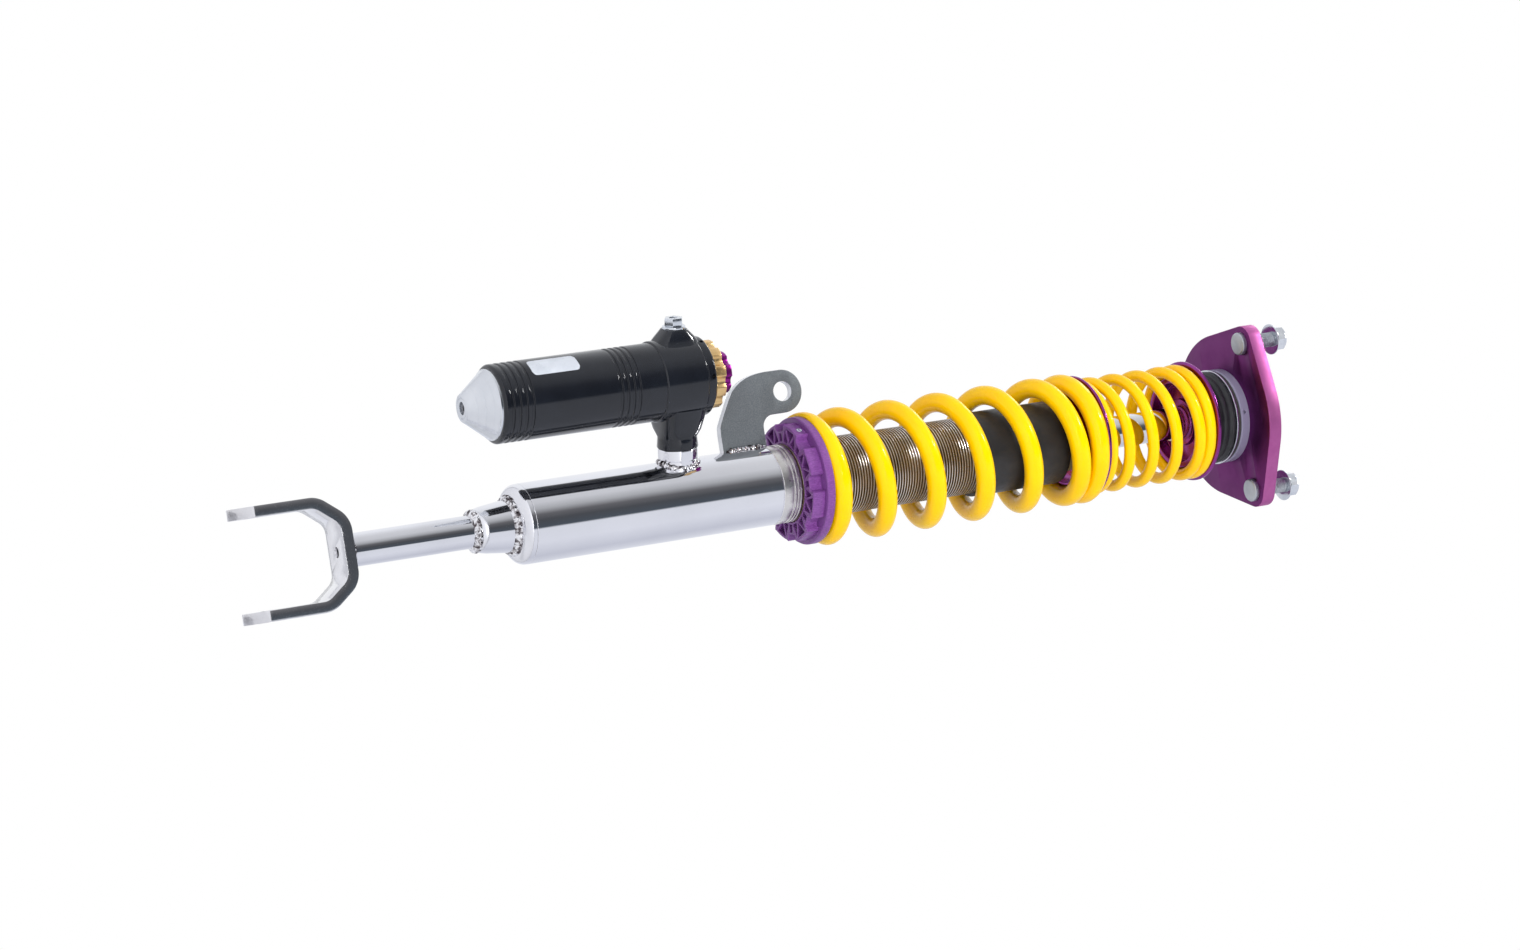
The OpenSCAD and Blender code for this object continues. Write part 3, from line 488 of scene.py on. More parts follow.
def fork():
    """A flat strap, round at its two eyes, bent over twice on each side."""
    t = STRAP_T
    half_w = hi("fork_yoke", 1)
    out_x = hi("fork_yoke", 0)
    top = hi("fork_yoke")
    bend, angle, stretch = 10.0, 38.0, 10.7
    bx = out_x - t - bend
    ax = bx - stretch * math.sin(math.radians(angle))
    az = top - t - bend
    bz = az - stretch * math.cos(math.radians(angle))
    mid = bend + t / 2
    path = []
    for k in range(13):
        psi = math.radians(90 - 90 * k / 12)
        path.append((out_x - t / 2, -half_w * math.sin(psi), 90, half_w * math.cos(psi)))
    path += [(out_x - t / 2, bz * k / 4, 90, half_w) for k in range(1, 4)]
    for c, a, b, n in (((bx, bz), 0, angle, 9), ((ax, az), angle, 90, 11)):
        path += [(c[0] + mid * math.cos(math.radians(q)), c[1] + mid * math.sin(math.radians(q)), 90 + q, half_w)
                 for q in [a + (b - a) * i / n for i in range(n + 1)]]
    half = len(path)
    path += [(-x, z, d, w) for x, z, d, w in path[::-1]]
    bm = bmesh.new()
    rings = []
    for i, (x, z, d, w) in enumerate(path):
        nx = math.sin(math.radians(d)) * (1 if i < half else -1)
        nz = -math.cos(math.radians(d))
        ring = []
        for side, y in ((1, w), (1, -w), (-1, -w), (-1, w)):
            ring.append(bm.verts.new(((x + side * nx * t / 2) * MM, y * MM, (z + side * nz * t / 2) * MM)))
        rings.append(ring)
    loft(bm, rings)
    bmesh.ops.remove_doubles(bm, verts=bm.verts, dist=1e-6)
    bmesh.ops.dissolve_degenerate(bm, edges=bm.edges, dist=1e-6)
    bolt = cylinder_cutter(BOLT_R, (-out_x - 5, 0, 0), (out_x + 5, 0, 0))
    drain = cylinder_cutter(DRAIN_R, (0, 0, top - t - 3), (0, 0, top + 3), 32)
    bm = cut(bm, [bolt, drain])
    finish_mesh("fork_strap", bm, "polished_strap", "housing", ["fork_yoke"], bevel=0.7, angle=30)


fork()

NECK_R = hi("neck_tube", 0)
COLLAR_R = hi("neck_collar", 0)
Z_FORK = lo("neck_tube")
Z_COLLAR = lo("neck_collar")

lathe("neck_pipe", [(NECK_R - 3, Z_FORK, 0.3), (NECK_R, Z_FORK, 0.3), (NECK_R, Z_COLLAR + 11),
                    (NECK_R - 3, Z_COLLAR + 11)],
      "polished_steel", "housing", ["neck_tube"], 96)
lathe("collar", [(NECK_R, Z_COLLAR, 0.5), (COLLAR_R - 2.4, Z_COLLAR, 1.5), (COLLAR_R - 1.0, Z_COLLAR + 5, 4),
                 (COLLAR_R + 1.0, Z_BASE - 3, 3), (COLLAR_R + 1.4, Z_BASE), (0, Z_BASE), (0, Z_BASE - 4),
                 (NECK_R, Z_BASE - 4)],
      "polished_steel", "housing", ["neck_collar"], 96)
lathe("tube_foot", [(0, Z_BASE)] + arc(R_TUBE - 7.05, Z_BASE + 7, 7, -90, 0, 14) + [(R_TUBE - 0.05, Z_TUBE - 0.2),
        (R_TUBE - 4, Z_TUBE + 0.4), (0, Z_TUBE + 0.4)],
      "polished_steel", "housing", ["tube_base"], 128)


# ---------------------------------------------------------------- damper tube with its thread

def damper_tube():
    r, depth, pitch = R_TUBE, 0.9, 2.0
    z0, z1 = Z_THREAD, Z_BARE
    seg = 128
    inner = r - 3.5
    bm = bmesh.new()
    low = soften([(inner, Z_TUBE), (r, Z_TUBE, 0.4), (r, z0 - 12.4, 0.1), (r - 0.3, z0 - 12.2, 0.1),
                  (r - 0.3, z0 - 11.6, 0.1), (r, z0 - 11.4, 0.1), (r, z0 - 5.2, 0.1), (r - 0.6, z0 - 5.0, 0.1),
                  (r - 0.6, z0 - 4.0, 0.1), (r, z0 - 3.8, 0.1),
                  (r, z0 - 2.8, 0.1), (r - 0.6, z0 - 2.6, 0.1), (r - 0.6, z0 - 1.6, 0.1), (r, z0 - 1.4, 0.1),
                  (r, z0 - 0.2)], False)
    revolve(bm, low, seg, False)
    # the helical thread: rows of points follow the helix, and its two ends are clamped to flat rings
    shape = [(0.0, -depth), (0.16, -depth), (0.34, -0.12), (0.42, 0.0), (0.74, 0.0), (0.82, -0.12)]
    turns = int(round((z1 - z0) / pitch))
    rows = []
    for i in range(-1, turns + 1):
        for s, d in shape:
            rows.append((z0 + (i + s) * pitch, d))
    grid = []
    for z, d in rows:
        ring = []
        for j in range(seg + 1):
            zz = z + pitch * j / seg
            c = min(max(zz, z0 - 0.2), z1)
            fade = min(1.0, max(0.0, c - z0 + 0.2))
            a = TAU * j / seg
            ring.append(bm.verts.new(((r + d * fade) * math.cos(a) * MM, (r + d * fade) * math.sin(a) * MM, c * MM)))
        grid.append(ring)
    for a, b in zip(grid, grid[1:]):
        for j in range(seg):
            quad = (a[j], a[j + 1], b[j + 1], b[j])
            if len({round(v.co.z, 8) for v in quad}) > 1:
                bm.faces.new(quad)
    high = soften([(r - depth, z1), (r - 1, z1), (r - 1, Z_TOP, 0.3), (inner, Z_TOP, 0.3), (inner, Z_TUBE)], False)
    revolve(bm, high, seg, False)
    # in the threaded length, faces below the crest radius take thread_root, whose dark brown is painted shade in the
    # grooves; crests and the run-out above the plain tube take thread_crest
    def root(v, c):
        if not z0 + 0.5 < c.z / MM < z1:
            return 2 if z0 - 11.5 < c.z / MM < z1 else 0
        return 1 if math.hypot(c.x, c.y) / MM < r - 0.06 else 2
    finish_mesh("damper_tube_threaded", bm, "stainless_tube", "housing", ["damper_tube"], angle=40,
                rim="thread_root thread_crest", side=root)


damper_tube()
SLEEVE_R = hi("black_sleeve", 0)
Z_LIP = hi("black_sleeve")
lathe("sleeve", [(R_TUBE - 1, Z_BARE, 0.3), (SLEEVE_R, Z_BARE, 0.6), (SLEEVE_R, Z_LIP, 0.9), (16, Z_LIP, 0.4),
                 (16, Z_TOP, 0.2), (R_TUBE - 1, Z_TOP)],
      "black_sleeve", "housing", ["black_sleeve"])
zb, zt = lo("bump_stop"), hi("bump_stop")
lathe("bump_rubber", [(11.5, zb, 0.6), (21.5, zb, 1.5), (21.5, zb + 4.2, 1), (18.6, zb + 6.6, 2), (21.5, zb + 9, 1.2),
                      (21.5, zb + 11, 1.2), (18.4, zb + 13.4, 2),
                      (21.3, zb + 15.6, 1.2), (19.5, zt - 1.4, 1.5), (16.5, zt, 1), (11.5, zt, 0.6)], "bump_foam",
      "housing", ["bump_stop"])


# ---------------------------------------------------------------- welds

def hump(a, n, seed):
    """Overlapping half-round ripples along a weld, uneven in pitch and height."""
    w = a * n / TAU + 0.35 * math.sin(3 * a + seed) + 0.18 * math.sin(7 * a + 2.1 * seed)
    f = w - math.floor(w)
    return math.sin(math.pi * f) ** 0.7 * (0.82 + 0.18 * math.sin(5 * a + seed * 3.3))


def ring_weld(bm, path, ripples, seed, lift, seg=288):
    """A rippled fillet turned about Z. path holds (radius, height, how much of the ripple it takes)."""
    grid = []
    for r, z, k in path:
        ring = []
        for j in range(seg):
            a = TAU * j / seg
            h = hump(a + 0.10 * k, ripples, seed) * lift * k
            p = Vector(((r + h) * math.cos(a), (r + h) * math.sin(a), z - 0.35 * h))
            ring.append(bm.verts.new(p * MM))
        grid.append(ring)
    loft(bm, grid, loop=True)


def bead(bm, points, radius, ripples, seed, side, squash=0.6, sections=14):
    """A rippled bead along a run of points. side(i) gives the outward direction at a point."""
    rings = []
    count = len(points)
    for i, p in enumerate(points):
        p = Vector(p)
        t = (Vector(points[min(i + 1, count - 1)]) - Vector(points[max(i - 1, 0)])).normalized()
        o = side(i)
        b = t.cross(o).normalized()
        u = i / (count - 1)
        end = min(1.0, 3.2 * math.sqrt(max(0.02, min(u, 1 - u))))
        k = (0.72 + 0.33 * hump(u * TAU, ripples, seed)) * end
        rings.append([bm.verts.new((p + (b * math.cos(TAU * j / sections)
                + o * squash * math.sin(TAU * j / sections)) * radius * k) * MM) for j in range(sections)])
    loft(bm, rings, caps=True)


def welds():
    bm = bmesh.new()
    n, c, t = NECK_R, COLLAR_R, R_TUBE
    z = Z_FORK
    ring_weld(bm, [(n - 0.3, z + 0.1, 0), (n + 1.9, z + 0.1, 0.5), (n + 1.5, z + 1.0, 1), (n + 0.8, z + 2.0, 0.8),
                   (n - 0.3, z + 2.8, 0)], ripples=26, seed=1.0, lift=0.7)
    z = Z_COLLAR
    ring_weld(bm, [(n - 0.3, z - 4.0, 0), (n + 0.2, z - 3.8, 0.3), (n + 0.9, z - 3.0, 0.8), (n + 1.7, z - 2.0, 1),
                   (n + 2.3, z - 1.0, 1), (c - 2.6, z - 0.1, 0.8),
                   (c - 2.3, z + 0.7, 0.3), (c - 3.0, z + 1.2, 0), (n - 0.3, z + 1.2, 0)], ripples=24, seed=2.0,
              lift=1.2)
    z = Z_BASE
    ring_weld(bm, [(c + 0.6, z - 3.9, 0), (c + 1.0, z - 3.7, 0.3), (c + 1.6, z - 3.0, 0.8), (c + 2.1, z - 2.1, 1),
                   (c + 2.6, z - 1.2, 1), (c + 3.3, z - 0.4, 0.8),
                   (c + 3.6, z + 0.5, 0.3), (c + 3.0, z + 1.0, 0), (c + 0.6, z + 1.0, 0)], ripples=32, seed=3.0,
              lift=1.2)
    # round the port: the bead follows the saddle between boss and tube
    port_r = (hi("port_boss") - lo("port_boss")) / 2
    pts, outs = [], []
    count = 220
    rot = PORT.to_3x3()
    for i in range(count + 1):
        a = TAU * i / count
        rr = port_r - 0.4
        y = rr * math.sin(a)
        x = math.sqrt(max(t * t - y * y, 1.0))
        pts.append(rot @ Vector((-rr * math.cos(a), y, x + 0.4)) + Vector((0, 0, Z_PORT)))
        outs.append((rot @ Vector((-math.cos(a), math.sin(a) * 1.2, 1.0))).normalized())
    bead(bm, pts, radius=2.4, ripples=22, seed=4.0, side=lambda i: outs[i], squash=0.9)
    # along both sides of the bracket's foot
    for s in (-1, 1):
        zs = [Z_THREAD - 38.5 + 28.0 * k / 70 for k in range(71)]
        y = s * 3.6
        x = -math.sqrt(t * t - y * y) - 0.2
        pts = [(x + 0.25 * math.sin(k * 0.5), y + 0.3 * math.sin(k * 0.9 + s), zz) for k, zz in enumerate(zs)]
        out = Vector((-0.72, s * 0.7, 0)).normalized()
        bead(bm, pts, radius=2.9, ripples=11, seed=5.0 + s, side=lambda i: out, squash=0.8)
    finish_mesh("weld_runs", bm, "weld_metal", "housing", ["weld_beads"], angle=50)


welds()


# ---------------------------------------------------------------- stabiliser bracket

def bracket():
    hole = frame_mount("stabiliser_hole")
    hx, hz = -hole[0], hole[2]
    r, end_r = R_TUBE, 14.3
    back, front = hx + end_r, hx - end_r
    low, high = Z_THREAD - 40.5, Z_THREAD - 8.5
    outline = [(r - 1.2, low), (r + 15, low), (r + 19, low + 1.4), (back - 11, low + 11.6), (back - 7, low + 16),
               (back - 4, low + 20.5),
               (back - 1.7, low + 26), (back - 0.4, low + 32.5), (back, low + 39)]
    outline += arc(hx, hz, end_r, 0, 180, 28)
    outline += [(front, high + 10)] + arc(front - 8, high + 8, 8, 0, -90, 10)[1:] + [(r - 1.2, high)]
    bm = bmesh.new()
    slab(bm, smooth_loop(outline, 1), [circle(hx, hz, 6.5)], -3.0, 3.0, 0.5, 2, lambda x, y, z: (-x, z, y))
    finish_mesh("stabiliser_tab", bm, "grey_bracket", "housing", ["stabiliser_bracket"], angle=40, rim="cut_steel",
                side=lambda v, c: abs(v.y) < 0.5)


def frame_mount(name):
    m = next(m for m in frame["record"]["mounts"] if m["name"] == name)
    return [v / MM for v in m["pos_m"]]


def smooth_loop(loop, passes):
    """Chaikin corner cutting of a closed loop where its turns are gentle."""
    for _ in range(passes):
        out = []
        n = len(loop)
        for i in range(n):
            p, q, r = Vector(loop[i - 1]), Vector(loop[i]), Vector(loop[(i + 1) % n])
            turn = (q - p).angle(r - q, 0)
            if turn > math.radians(50) or turn < math.radians(4):
                out.append(tuple(q))
            else:
                out += [tuple(q * 0.75 + p * 0.25), tuple(q * 0.75 + r * 0.25)]
        loop = out
    return loop


bracket()


# ---------------------------------------------------------------- reservoir

def reservoir():
    r, z = RES_R, Z_RES
    end = hi("reservoir_body")
    inner = r - 3

    def grooves(first, count, step, width=1.5, depth=0.8):
        out = []
        for k in range(count):
            a = z + first + k * step
            out += [(r, a - 0.4, 0.25), (r - depth, a, 0.25), (r - depth, a + width, 0.25), (r, a + width + 0.4, 0.25)]
        return out

    lathe("reservoir_tube", [(inner, z, 0.2), (r - 1.4, z, 0.8), (r, z + 1.4, 0.8)] + grooves(5, 4, 4.6) + grooves(80.5,
            4, 4.2) + [(r, end - 0.5), (inner, end - 0.5)],
          "black_anodised", "housing", ["reservoir_body"], 144, at=RES)
    tip = lo("end_cone")
    cone = [(2.2, tip + 3.5), (4.1, tip + 3.5, 0.2), (4.1, tip + 0.1, 0.3), (6.3, tip, 0.2), (6.5, tip + 0.45, 0.1),
            (6.9, tip + 0.45, 0.1), (7.1, tip, 0.1), (9, tip, 0.4), (10, tip + 1.5, 0.4)]
    steps = 11
    for k in range(1, steps):
        u = k / steps
        rr, zz = 10 + (r - 3.4 - 10) * u, tip + 1.5 + (z - 2 - tip - 1.5) * u
        cone += [(rr - 0.02, zz - 0.10), (rr - 0.09, zz, 0.0), (rr + 0.02, zz + 0.10)] if k % 3 == 0 else [(rr, zz)]
    cone += [(r - 3.4, z - 2, 0.2), (r - 2.6, z - 1.6, 0.3), (r - 2.6, z + 0.6), (inner, z + 0.6), (inner, z + 9.5),
             (0, z + 9.5), (0, tip + 6)]
    cone.insert(0, (2.2, tip + 6))
    lathe("reservoir_cone", cone, "bright_alloy", "housing", ["end_cone"], 144, at=RES, angle=25)


reservoir()
Z_TIP = lo("end_cone")


def socket_screw(name, r, depth, hexr, slot, body, nodes, matrix):
    """A small disc screw with a hex socket. Local +Z points out of its face, at z = 0."""
    bm = bmesh.new()
    slab(bm, circle(0, 0, r, 36), [circle(0, 0, hexr, 6)], -depth * 0.6, 0, 0.25, 2)
    slab(bm, circle(0, 0, r, 36), [], -depth, -depth * 0.6, 0.05, 1)
    finish_mesh(name, bm, slot, body, nodes, matrix=matrix)


socket_screw("fill_screw", 3.9, 4.0, 1.9, "spring_steel", "housing", ["gas_valve"],
             Matrix.Translation((RES[0] * MM, RES[1] * MM, (Z_TIP + 1.4) * MM)) @ Matrix.Rotation(math.pi, 4, "X"))


def port_section(bm, out, half_z, half_y, power_z, power_y, seg):
    """A ring across the port's axis: an ellipse where the powers are 1, and nearly a box at 0.5."""
    ring = []
    for j in range(seg):
        c, s = math.cos(TAU * j / seg), math.sin(TAU * j / seg)
        x = math.copysign(abs(c) ** power_z, c) * half_z
        y = math.copysign(abs(s) ** power_y, s) * half_y
        ring.append(bm.verts.new(PORT @ (Vector((x, y, out)) * MM)))
    return ring


def head():
    z0, z1 = lo("reservoir_head"), lo("end_ring")
    r = RES_R + 1
    top = hi("end_ring")
    lathe("head_barrel", [(RES_R - 5, z0, 0.2), (r - 0.8, z0, 0.3), (r, z0 + 0.8, 0.4), (r, z1 - 0.9, 0.3),
                          (r - 0.5, z1 - 0.4, 0.2), (r - 0.5, z1 - 0.05, 0.1), (RES_R - 7, z1 - 0.05)],
          "black_anodised", "housing", ["reservoir_head"], 144, at=RES)
    # the neck from the silver port ring: a round foot, a waist, and flats that widen to the barrel
    foot = RES_OUT - r
    near = PORT_END + 0.1
    pr = (hi("port_boss") - lo("port_boss")) / 2
    bm = bmesh.new()
    sections = []
    for out, power, ry, rz in ((near, 1.0, pr + 0.2, pr + 0.2), (near + 0.6, 1.0, pr + 0.5, pr + 0.5), (near + 6.5, 1.0,
            pr + 0.1, pr - 0.1), (near + 7.5, 0.9, pr - 0.3, pr - 0.3),
                             (near + 12.5, 0.6, pr + 1.6, pr + 1.0), (foot + 3.0, 0.5, pr + 5.5, pr + 2.0),
                               (foot + 9.0, 0.5, pr + 7.5, pr + 2.2)):
        sections.append(port_section(bm, out, rz, ry, power, power, 96))
    loft(bm, sections, caps=True)
    finish_mesh("head_neck", bm, "black_anodised", "housing", ["reservoir_head"], angle=45)
    # the lug on the far side, with slanted flanks and a flat top
    out_top = RES_OUT + r + 7
    bm = bmesh.new()
    rings = []
    for out, half_z, half_y in ((RES_OUT + r - 8, 15.5, 17.0), (RES_OUT + r - 0.8, 14.6, 10.5), (out_top - 5.5, 12.6,
            9.8), (out_top - 1.2, 8.4, 8.4), (out_top - 0.2, 7.7, 7.7), (out_top, 7.2, 7.2)):
        rings.append(port_section(bm, out, half_z, half_y, 0.5, 0.7, 48))
    loft(bm, rings, caps=True)
    finish_mesh("head_lug", bm, "black_anodised", "housing", ["reservoir_head"], angle=32)
    # the bolt on it
    bm = bmesh.new()
    slab(bm, circle(0, 0, 7.6, 48), [], 0, 1.6, 0.3)
    slab(bm, circle(0, 0, 6.4, 6), [circle(0, 0, 2.9, 6)], 1.6, 7.0, 0.5)
    slab(bm, circle(0, 0, 4.5, 24), [], 1.6, 3.2, 0.1)
    finish_mesh("port_plug", bm, "zinc", "housing", ["head_bolt"], matrix=PORT @ Matrix.Translation((0, 0,
            out_top * MM)))
    # the end ring, with round holes for a pin spanner in its rim
    bm = bmesh.new()
    rr = r - 0.5
    revolve(bm, soften([(6.05, z1), (rr, z1, 0.4), (rr, top - 1.2, 0.4), (rr - 1.2, top, 0.3), (6.05, top, 0.2)]), 144,
            True, RES)
    zc = (z1 + top) / 2
    cutters = []
    for k in range(6):
        a = math.radians(20 + 60 * k) + RES_TURN
        d = Vector((math.cos(a), math.sin(a), 0))
        p = Vector((*RES, zc))
        cutters.append(cylinder_cutter(1.4, p + d * (rr - 3), p + d * (rr + 3), 24))
    bm = cut(bm, cutters)
    finish_mesh("spanner_ring", bm, "black_anodised", "housing", ["end_ring"], angle=35)


head()

lathe("port_ring", [(4, R_TUBE - 3.5), (12.6, R_TUBE - 3.5), (12.6, R_TUBE + 1.5, 0.4), (13.0, R_TUBE + 2.6, 0.3),
                    (13.0, PORT_END - 0.5, 0.4), (12.2, PORT_END, 0.2), (4, PORT_END)],
      "polished_steel", "housing", ["port_boss"], 96, matrix=PORT)


def lobed(bm, r, bite, count, z0, z1, hole, bevel, at, flat=0.45):
    """A round knob with hollows round its rim."""
    pts = []
    n = 240
    for i in range(n):
        a = TAU * i / n
        best = r
        step = TAU / count
        k = round(a / step) * step
        d = r + bite * flat
        cx, cy = d * math.cos(k), d * math.sin(k)
        # distance from the centre to the hollow's edge along this direction
        dot = cx * math.cos(a) + cy * math.sin(a)
        disc = dot * dot - (d * d - bite * bite)
        if disc > 0:
            best = min(best, dot - math.sqrt(disc))
        pts.append((best * math.cos(a) + at[0], best * math.sin(a) + at[1]))
    slab(bm, pts, [[(x + at[0], y + at[1]) for x, y in circle(0, 0, hole, 48)]] if hole else [], z0, z1, bevel)


bm = bmesh.new()
lobed(bm, 22.45, 4.2, 10, lo("adjuster_wheel"), hi("adjuster_wheel"), 6.1, 0.7, RES)
finish_mesh("gold_wheel", bm, "gold_anodised", "compression_wheel", ["adjuster_wheel"], angle=40)
bm = bmesh.new()
lobed(bm, 13.95, 4.0, 6, lo("adjuster_knob"), hi("adjuster_knob"), 0, 0.8, RES)
finish_mesh("purple_knob", bm, "magenta_anodised", "compression_knob", ["adjuster_knob"], angle=40)


def label():
    """A plain pale label, bent round the reservoir."""
    bm = bmesh.new()
    r = RES_R + 0.06
    z0, z1 = Z_RES + 24, Z_RES + 57
    centre = math.radians(221)
    half = 7.6 / r
    nz, na = 30, 20
    rows = []
    for i in range(nz + 1):
        z = z0 + (z1 - z0) * i / nz
        edge = min(z - z0, z1 - z)
        short = 3.0 - math.sqrt(max(9.0 - (3.0 - min(edge, 3.0)) ** 2, 0.0))
        hw = half - short / r
        rows.append([bm.verts.new(((RES[0] + r * math.cos(centre + hw * (2 * k / na - 1))) * MM,
                                   (RES[1] + r * math.sin(centre + hw * (2 * k / na - 1))) * MM, z * MM))
                     for k in range(na + 1)])
    for a, b in zip(rows, rows[1:]):
        for k in range(na):
            bm.faces.new((a[k], a[k + 1], b[k + 1], b[k]))
    bmesh.ops.solidify(bm, geom=bm.faces[:], thickness=0.00005)
    finish_mesh("blank_label", bm, "plain_label", "housing", angle=40)


label()


# ---------------------------------------------------------------- perch

def perch():
    bore, hub, rim = R_TUBE + 0.06, 38.9, hi("perch_collar", 0) - 0.02
    z0, z1 = Z_PERCH, Z_SEAT
    mid = z1 - 6
    cells, first = 8, 5
    pitch = 360 / cells
    bm = bmesh.new()
    revolve(bm, soften([(bore, mid - 1.5), (hub - 6, mid - 1.5), (hub - 4.5, mid, 1.0), (rim - 0.6, mid + 0.3, 0.8),
                        (rim, mid + 1.2, 0.5), (rim, z1 - 0.1, 0.5), (41, z1 - 0.1), (40.4, z1 - 1.05),
                        (30.2, z1 - 1.05), (30.1, z1), (bore, z1, 0.2)]), 160)
    outline = []
    for k in range(cells):
        a0 = math.radians(first + pitch * k)
        notch = soften([(-6.4, hub), (-5.4, hub - 0.8, 1.0), (-4.2, hub - 4.6, 1.4), (4.2, hub - 4.6, 1.4),
                        (5.4, hub - 0.8, 1.0), (6.4, hub)], False, 4)
        for y, x in notch:
            outline.append((x * math.cos(a0) - y * math.sin(a0), x * math.sin(a0) + y * math.cos(a0)))
        a1 = a0 + math.radians(pitch)
        s, e = a0 + 7.6 / hub, a1 - 7.6 / hub
        for i in range(9):
            a = s + (e - s) * i / 8
            outline.append((hub * math.cos(a), hub * math.sin(a)))
    pockets = []
    for k in range(cells):
        c = math.radians(first + pitch * (k + 0.5))

        def pt(r, deg):
            a = c + math.radians(deg)
            return (r * math.cos(a), r * math.sin(a))
        pockets.append([pt(28.3, 0), pt(37.3, -8.4), pt(37.3, 8.4)])
        pockets.append([pt(27.8, 18.2), pt(32.9, 19.6), pt(32.9, 25.4), pt(27.8, 26.8)])
        for s in (1, -1):
            pockets.append([pt(27.8, s * 3.0), pt(36.0, s * 10.6), pt(27.8, s * 15.4)])
    pockets = [soft_poly(p, 1.0) for p in pockets]
    slab(bm, outline, [circle(0, 0, bore + 0.02, 96)] + pockets, z0, mid + 0.3, 0.6, 3)
    revolve(bm, soften([(bore, z0 + 4.5), (hub - 5.6, z0 + 4.5), (hub - 5.6, mid), (bore, mid)]), 96)
    finish_mesh("spring_perch", bm, "purple_composite", "perch", ["perch_collar"], angle=38)


def soft_poly(points, r):
    return soften([(x, y, r) for x, y in points], True, 3)


perch()
a = math.radians(213)
socket_screw("perch_grub_screw", 2.0, 2.4, 1.0, "zinc", "perch", ["perch_lock_screw"],
             Matrix.Translation((39.5 * math.cos(a) * MM, 39.5 * math.sin(a) * MM,
                                 (Z_PERCH + 5.2) * MM)) @ Matrix.Rotation(a, 4, "Z") @ Matrix.Rotation(math.pi / 2, 4,
        "Y"))


# ---------------------------------------------------------------- springs

def coil(name, mean_r, wire, low, high, start, turns, body, node):
    """A round wire wound as a compression spring with closed ends, ground flat where they sit.
    start and turns fix the working coils; each end turn then closes at one wire per turn and is ground to half a wire."""
    per_turn, sides = 96, 28
    rise = 1.03 * wire
    climb = rise * (turns - 2) / (high - low - wire - 2 * rise)
    l, h = low + wire / 2, high - wire / 2
    lift, drop = start + 1 - climb, start + turns - 1 + climb
    slope = (h - l) / (drop - lift)
    full = round(start + turns) - 0.1
    first = -0.5
    wound = full + 0.5 - first
    steps = round(wound * per_turn)

    def blend(a, b, sign, soft=0.12 * wire):
        """The greater (sign 1) or the lesser (sign -1) of two levels, rounded where they cross."""
        d = abs(a - b)
        m = max(a, b) if sign > 0 else min(a, b)
        return m + sign * max(soft - d, 0.0) ** 2 / (4 * soft)

    def level(t):
        z = blend(l + slope * (t - lift), l + wire * 1.005 * t, 1)
        return blend(z, h + wire * 1.005 * (t - full), -1)

    bm = bmesh.new()
    rings = []
    for i in range(steps + 1):
        t = first + wound * i / steps
        a = math.radians(270 + 360 * t)
        ring = []
        for j in range(sides):
            b = TAU * j / sides
            r = mean_r + wire / 2 * math.cos(b)
            z = min(max(level(t) + wire / 2 * math.sin(b), low), high)
            ring.append(bm.verts.new((r * math.cos(a) * MM, r * math.sin(a) * MM, z * MM)))
        rings.append(ring)
    loft(bm, rings, caps=True)
    ob = finish_mesh(name, bm, "yellow_spring", body, [node], angle=50)
    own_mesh(ob)


MAIN_WIRE, HELPER_WIRE = 13.2, 8.0
FLANGE_UP = 13  # from the divider's lower edge to its flange
low, high = lo("main_spring"), hi("main_spring")
main_r = hi("main_spring", 0)
coil("main_coil", main_r - MAIN_WIRE / 2, MAIN_WIRE, low, high, -0.48, 6.53, "spring_carrier", "main_spring")
low, high = lo("helper_spring"), hi("helper_spring")
help_r = hi("helper_spring", 0)
coil("helper_coil", help_r - HELPER_WIRE / 2, HELPER_WIRE, low, high, -0.26, 5.26, "rod", "helper_spring")


# ---------------------------------------------------------------- spacer, rod and upper seat

z = lo("spacer_ring") + FLANGE_UP
top = hi("spacer_ring")
rim = hi("spacer_ring", 0)
lathe("spring_divider", [(29.15, z - FLANGE_UP, 0.4), (31.15, z - FLANGE_UP, 0.8), (31.15, z, 0.3), (rim, z, 0.6),
                         (rim, z + 2, 0.6), (31.15, z + 2, 0.3), (31.15, top, 0.8), (29.15, top, 0.4)],
      "purple_anodised", "spring_spacer", ["spacer_ring"])

z = hi("rod_spacer")
zs = lo("rod_spacer")
lathe("rod_collar", [(7.1, zs, 0.2), (11.6, zs, 0.8), (13, zs + 2, 1.2), (13, zs + 4.2, 1.2), (11, zs + 7, 0.8),
                     (11, z - 1, 0.5), (10, z), (7.1, z)], "hard_chrome", "rod", ["rod_spacer"], 96)

su, st = lo("upper_spring_seat"), hi("upper_spring_seat")
z = st - 3
rim = hi("upper_spring_seat", 0)
lathe("top_spring_seat", [(11.2, z - 4, 0.3), (16.2, z - 4, 0.8), (16.2, z - 0.6, 0.5), (27.65, z - 0.6, 0.6),
                          (27.65, su, 0.4), (31.65, su, 0.9), (31.65, z + 0.3, 0.3), (rim - 2.0, z + 0.3, 0.4),
                          (rim - 0.6, z + 1.0, 0.3), (rim - 0.6, st - 0.5, 0.4), (31, st, 0.5), (11.2, st, 0.3)],
      "purple_anodised", "rod", ["upper_spring_seat"])

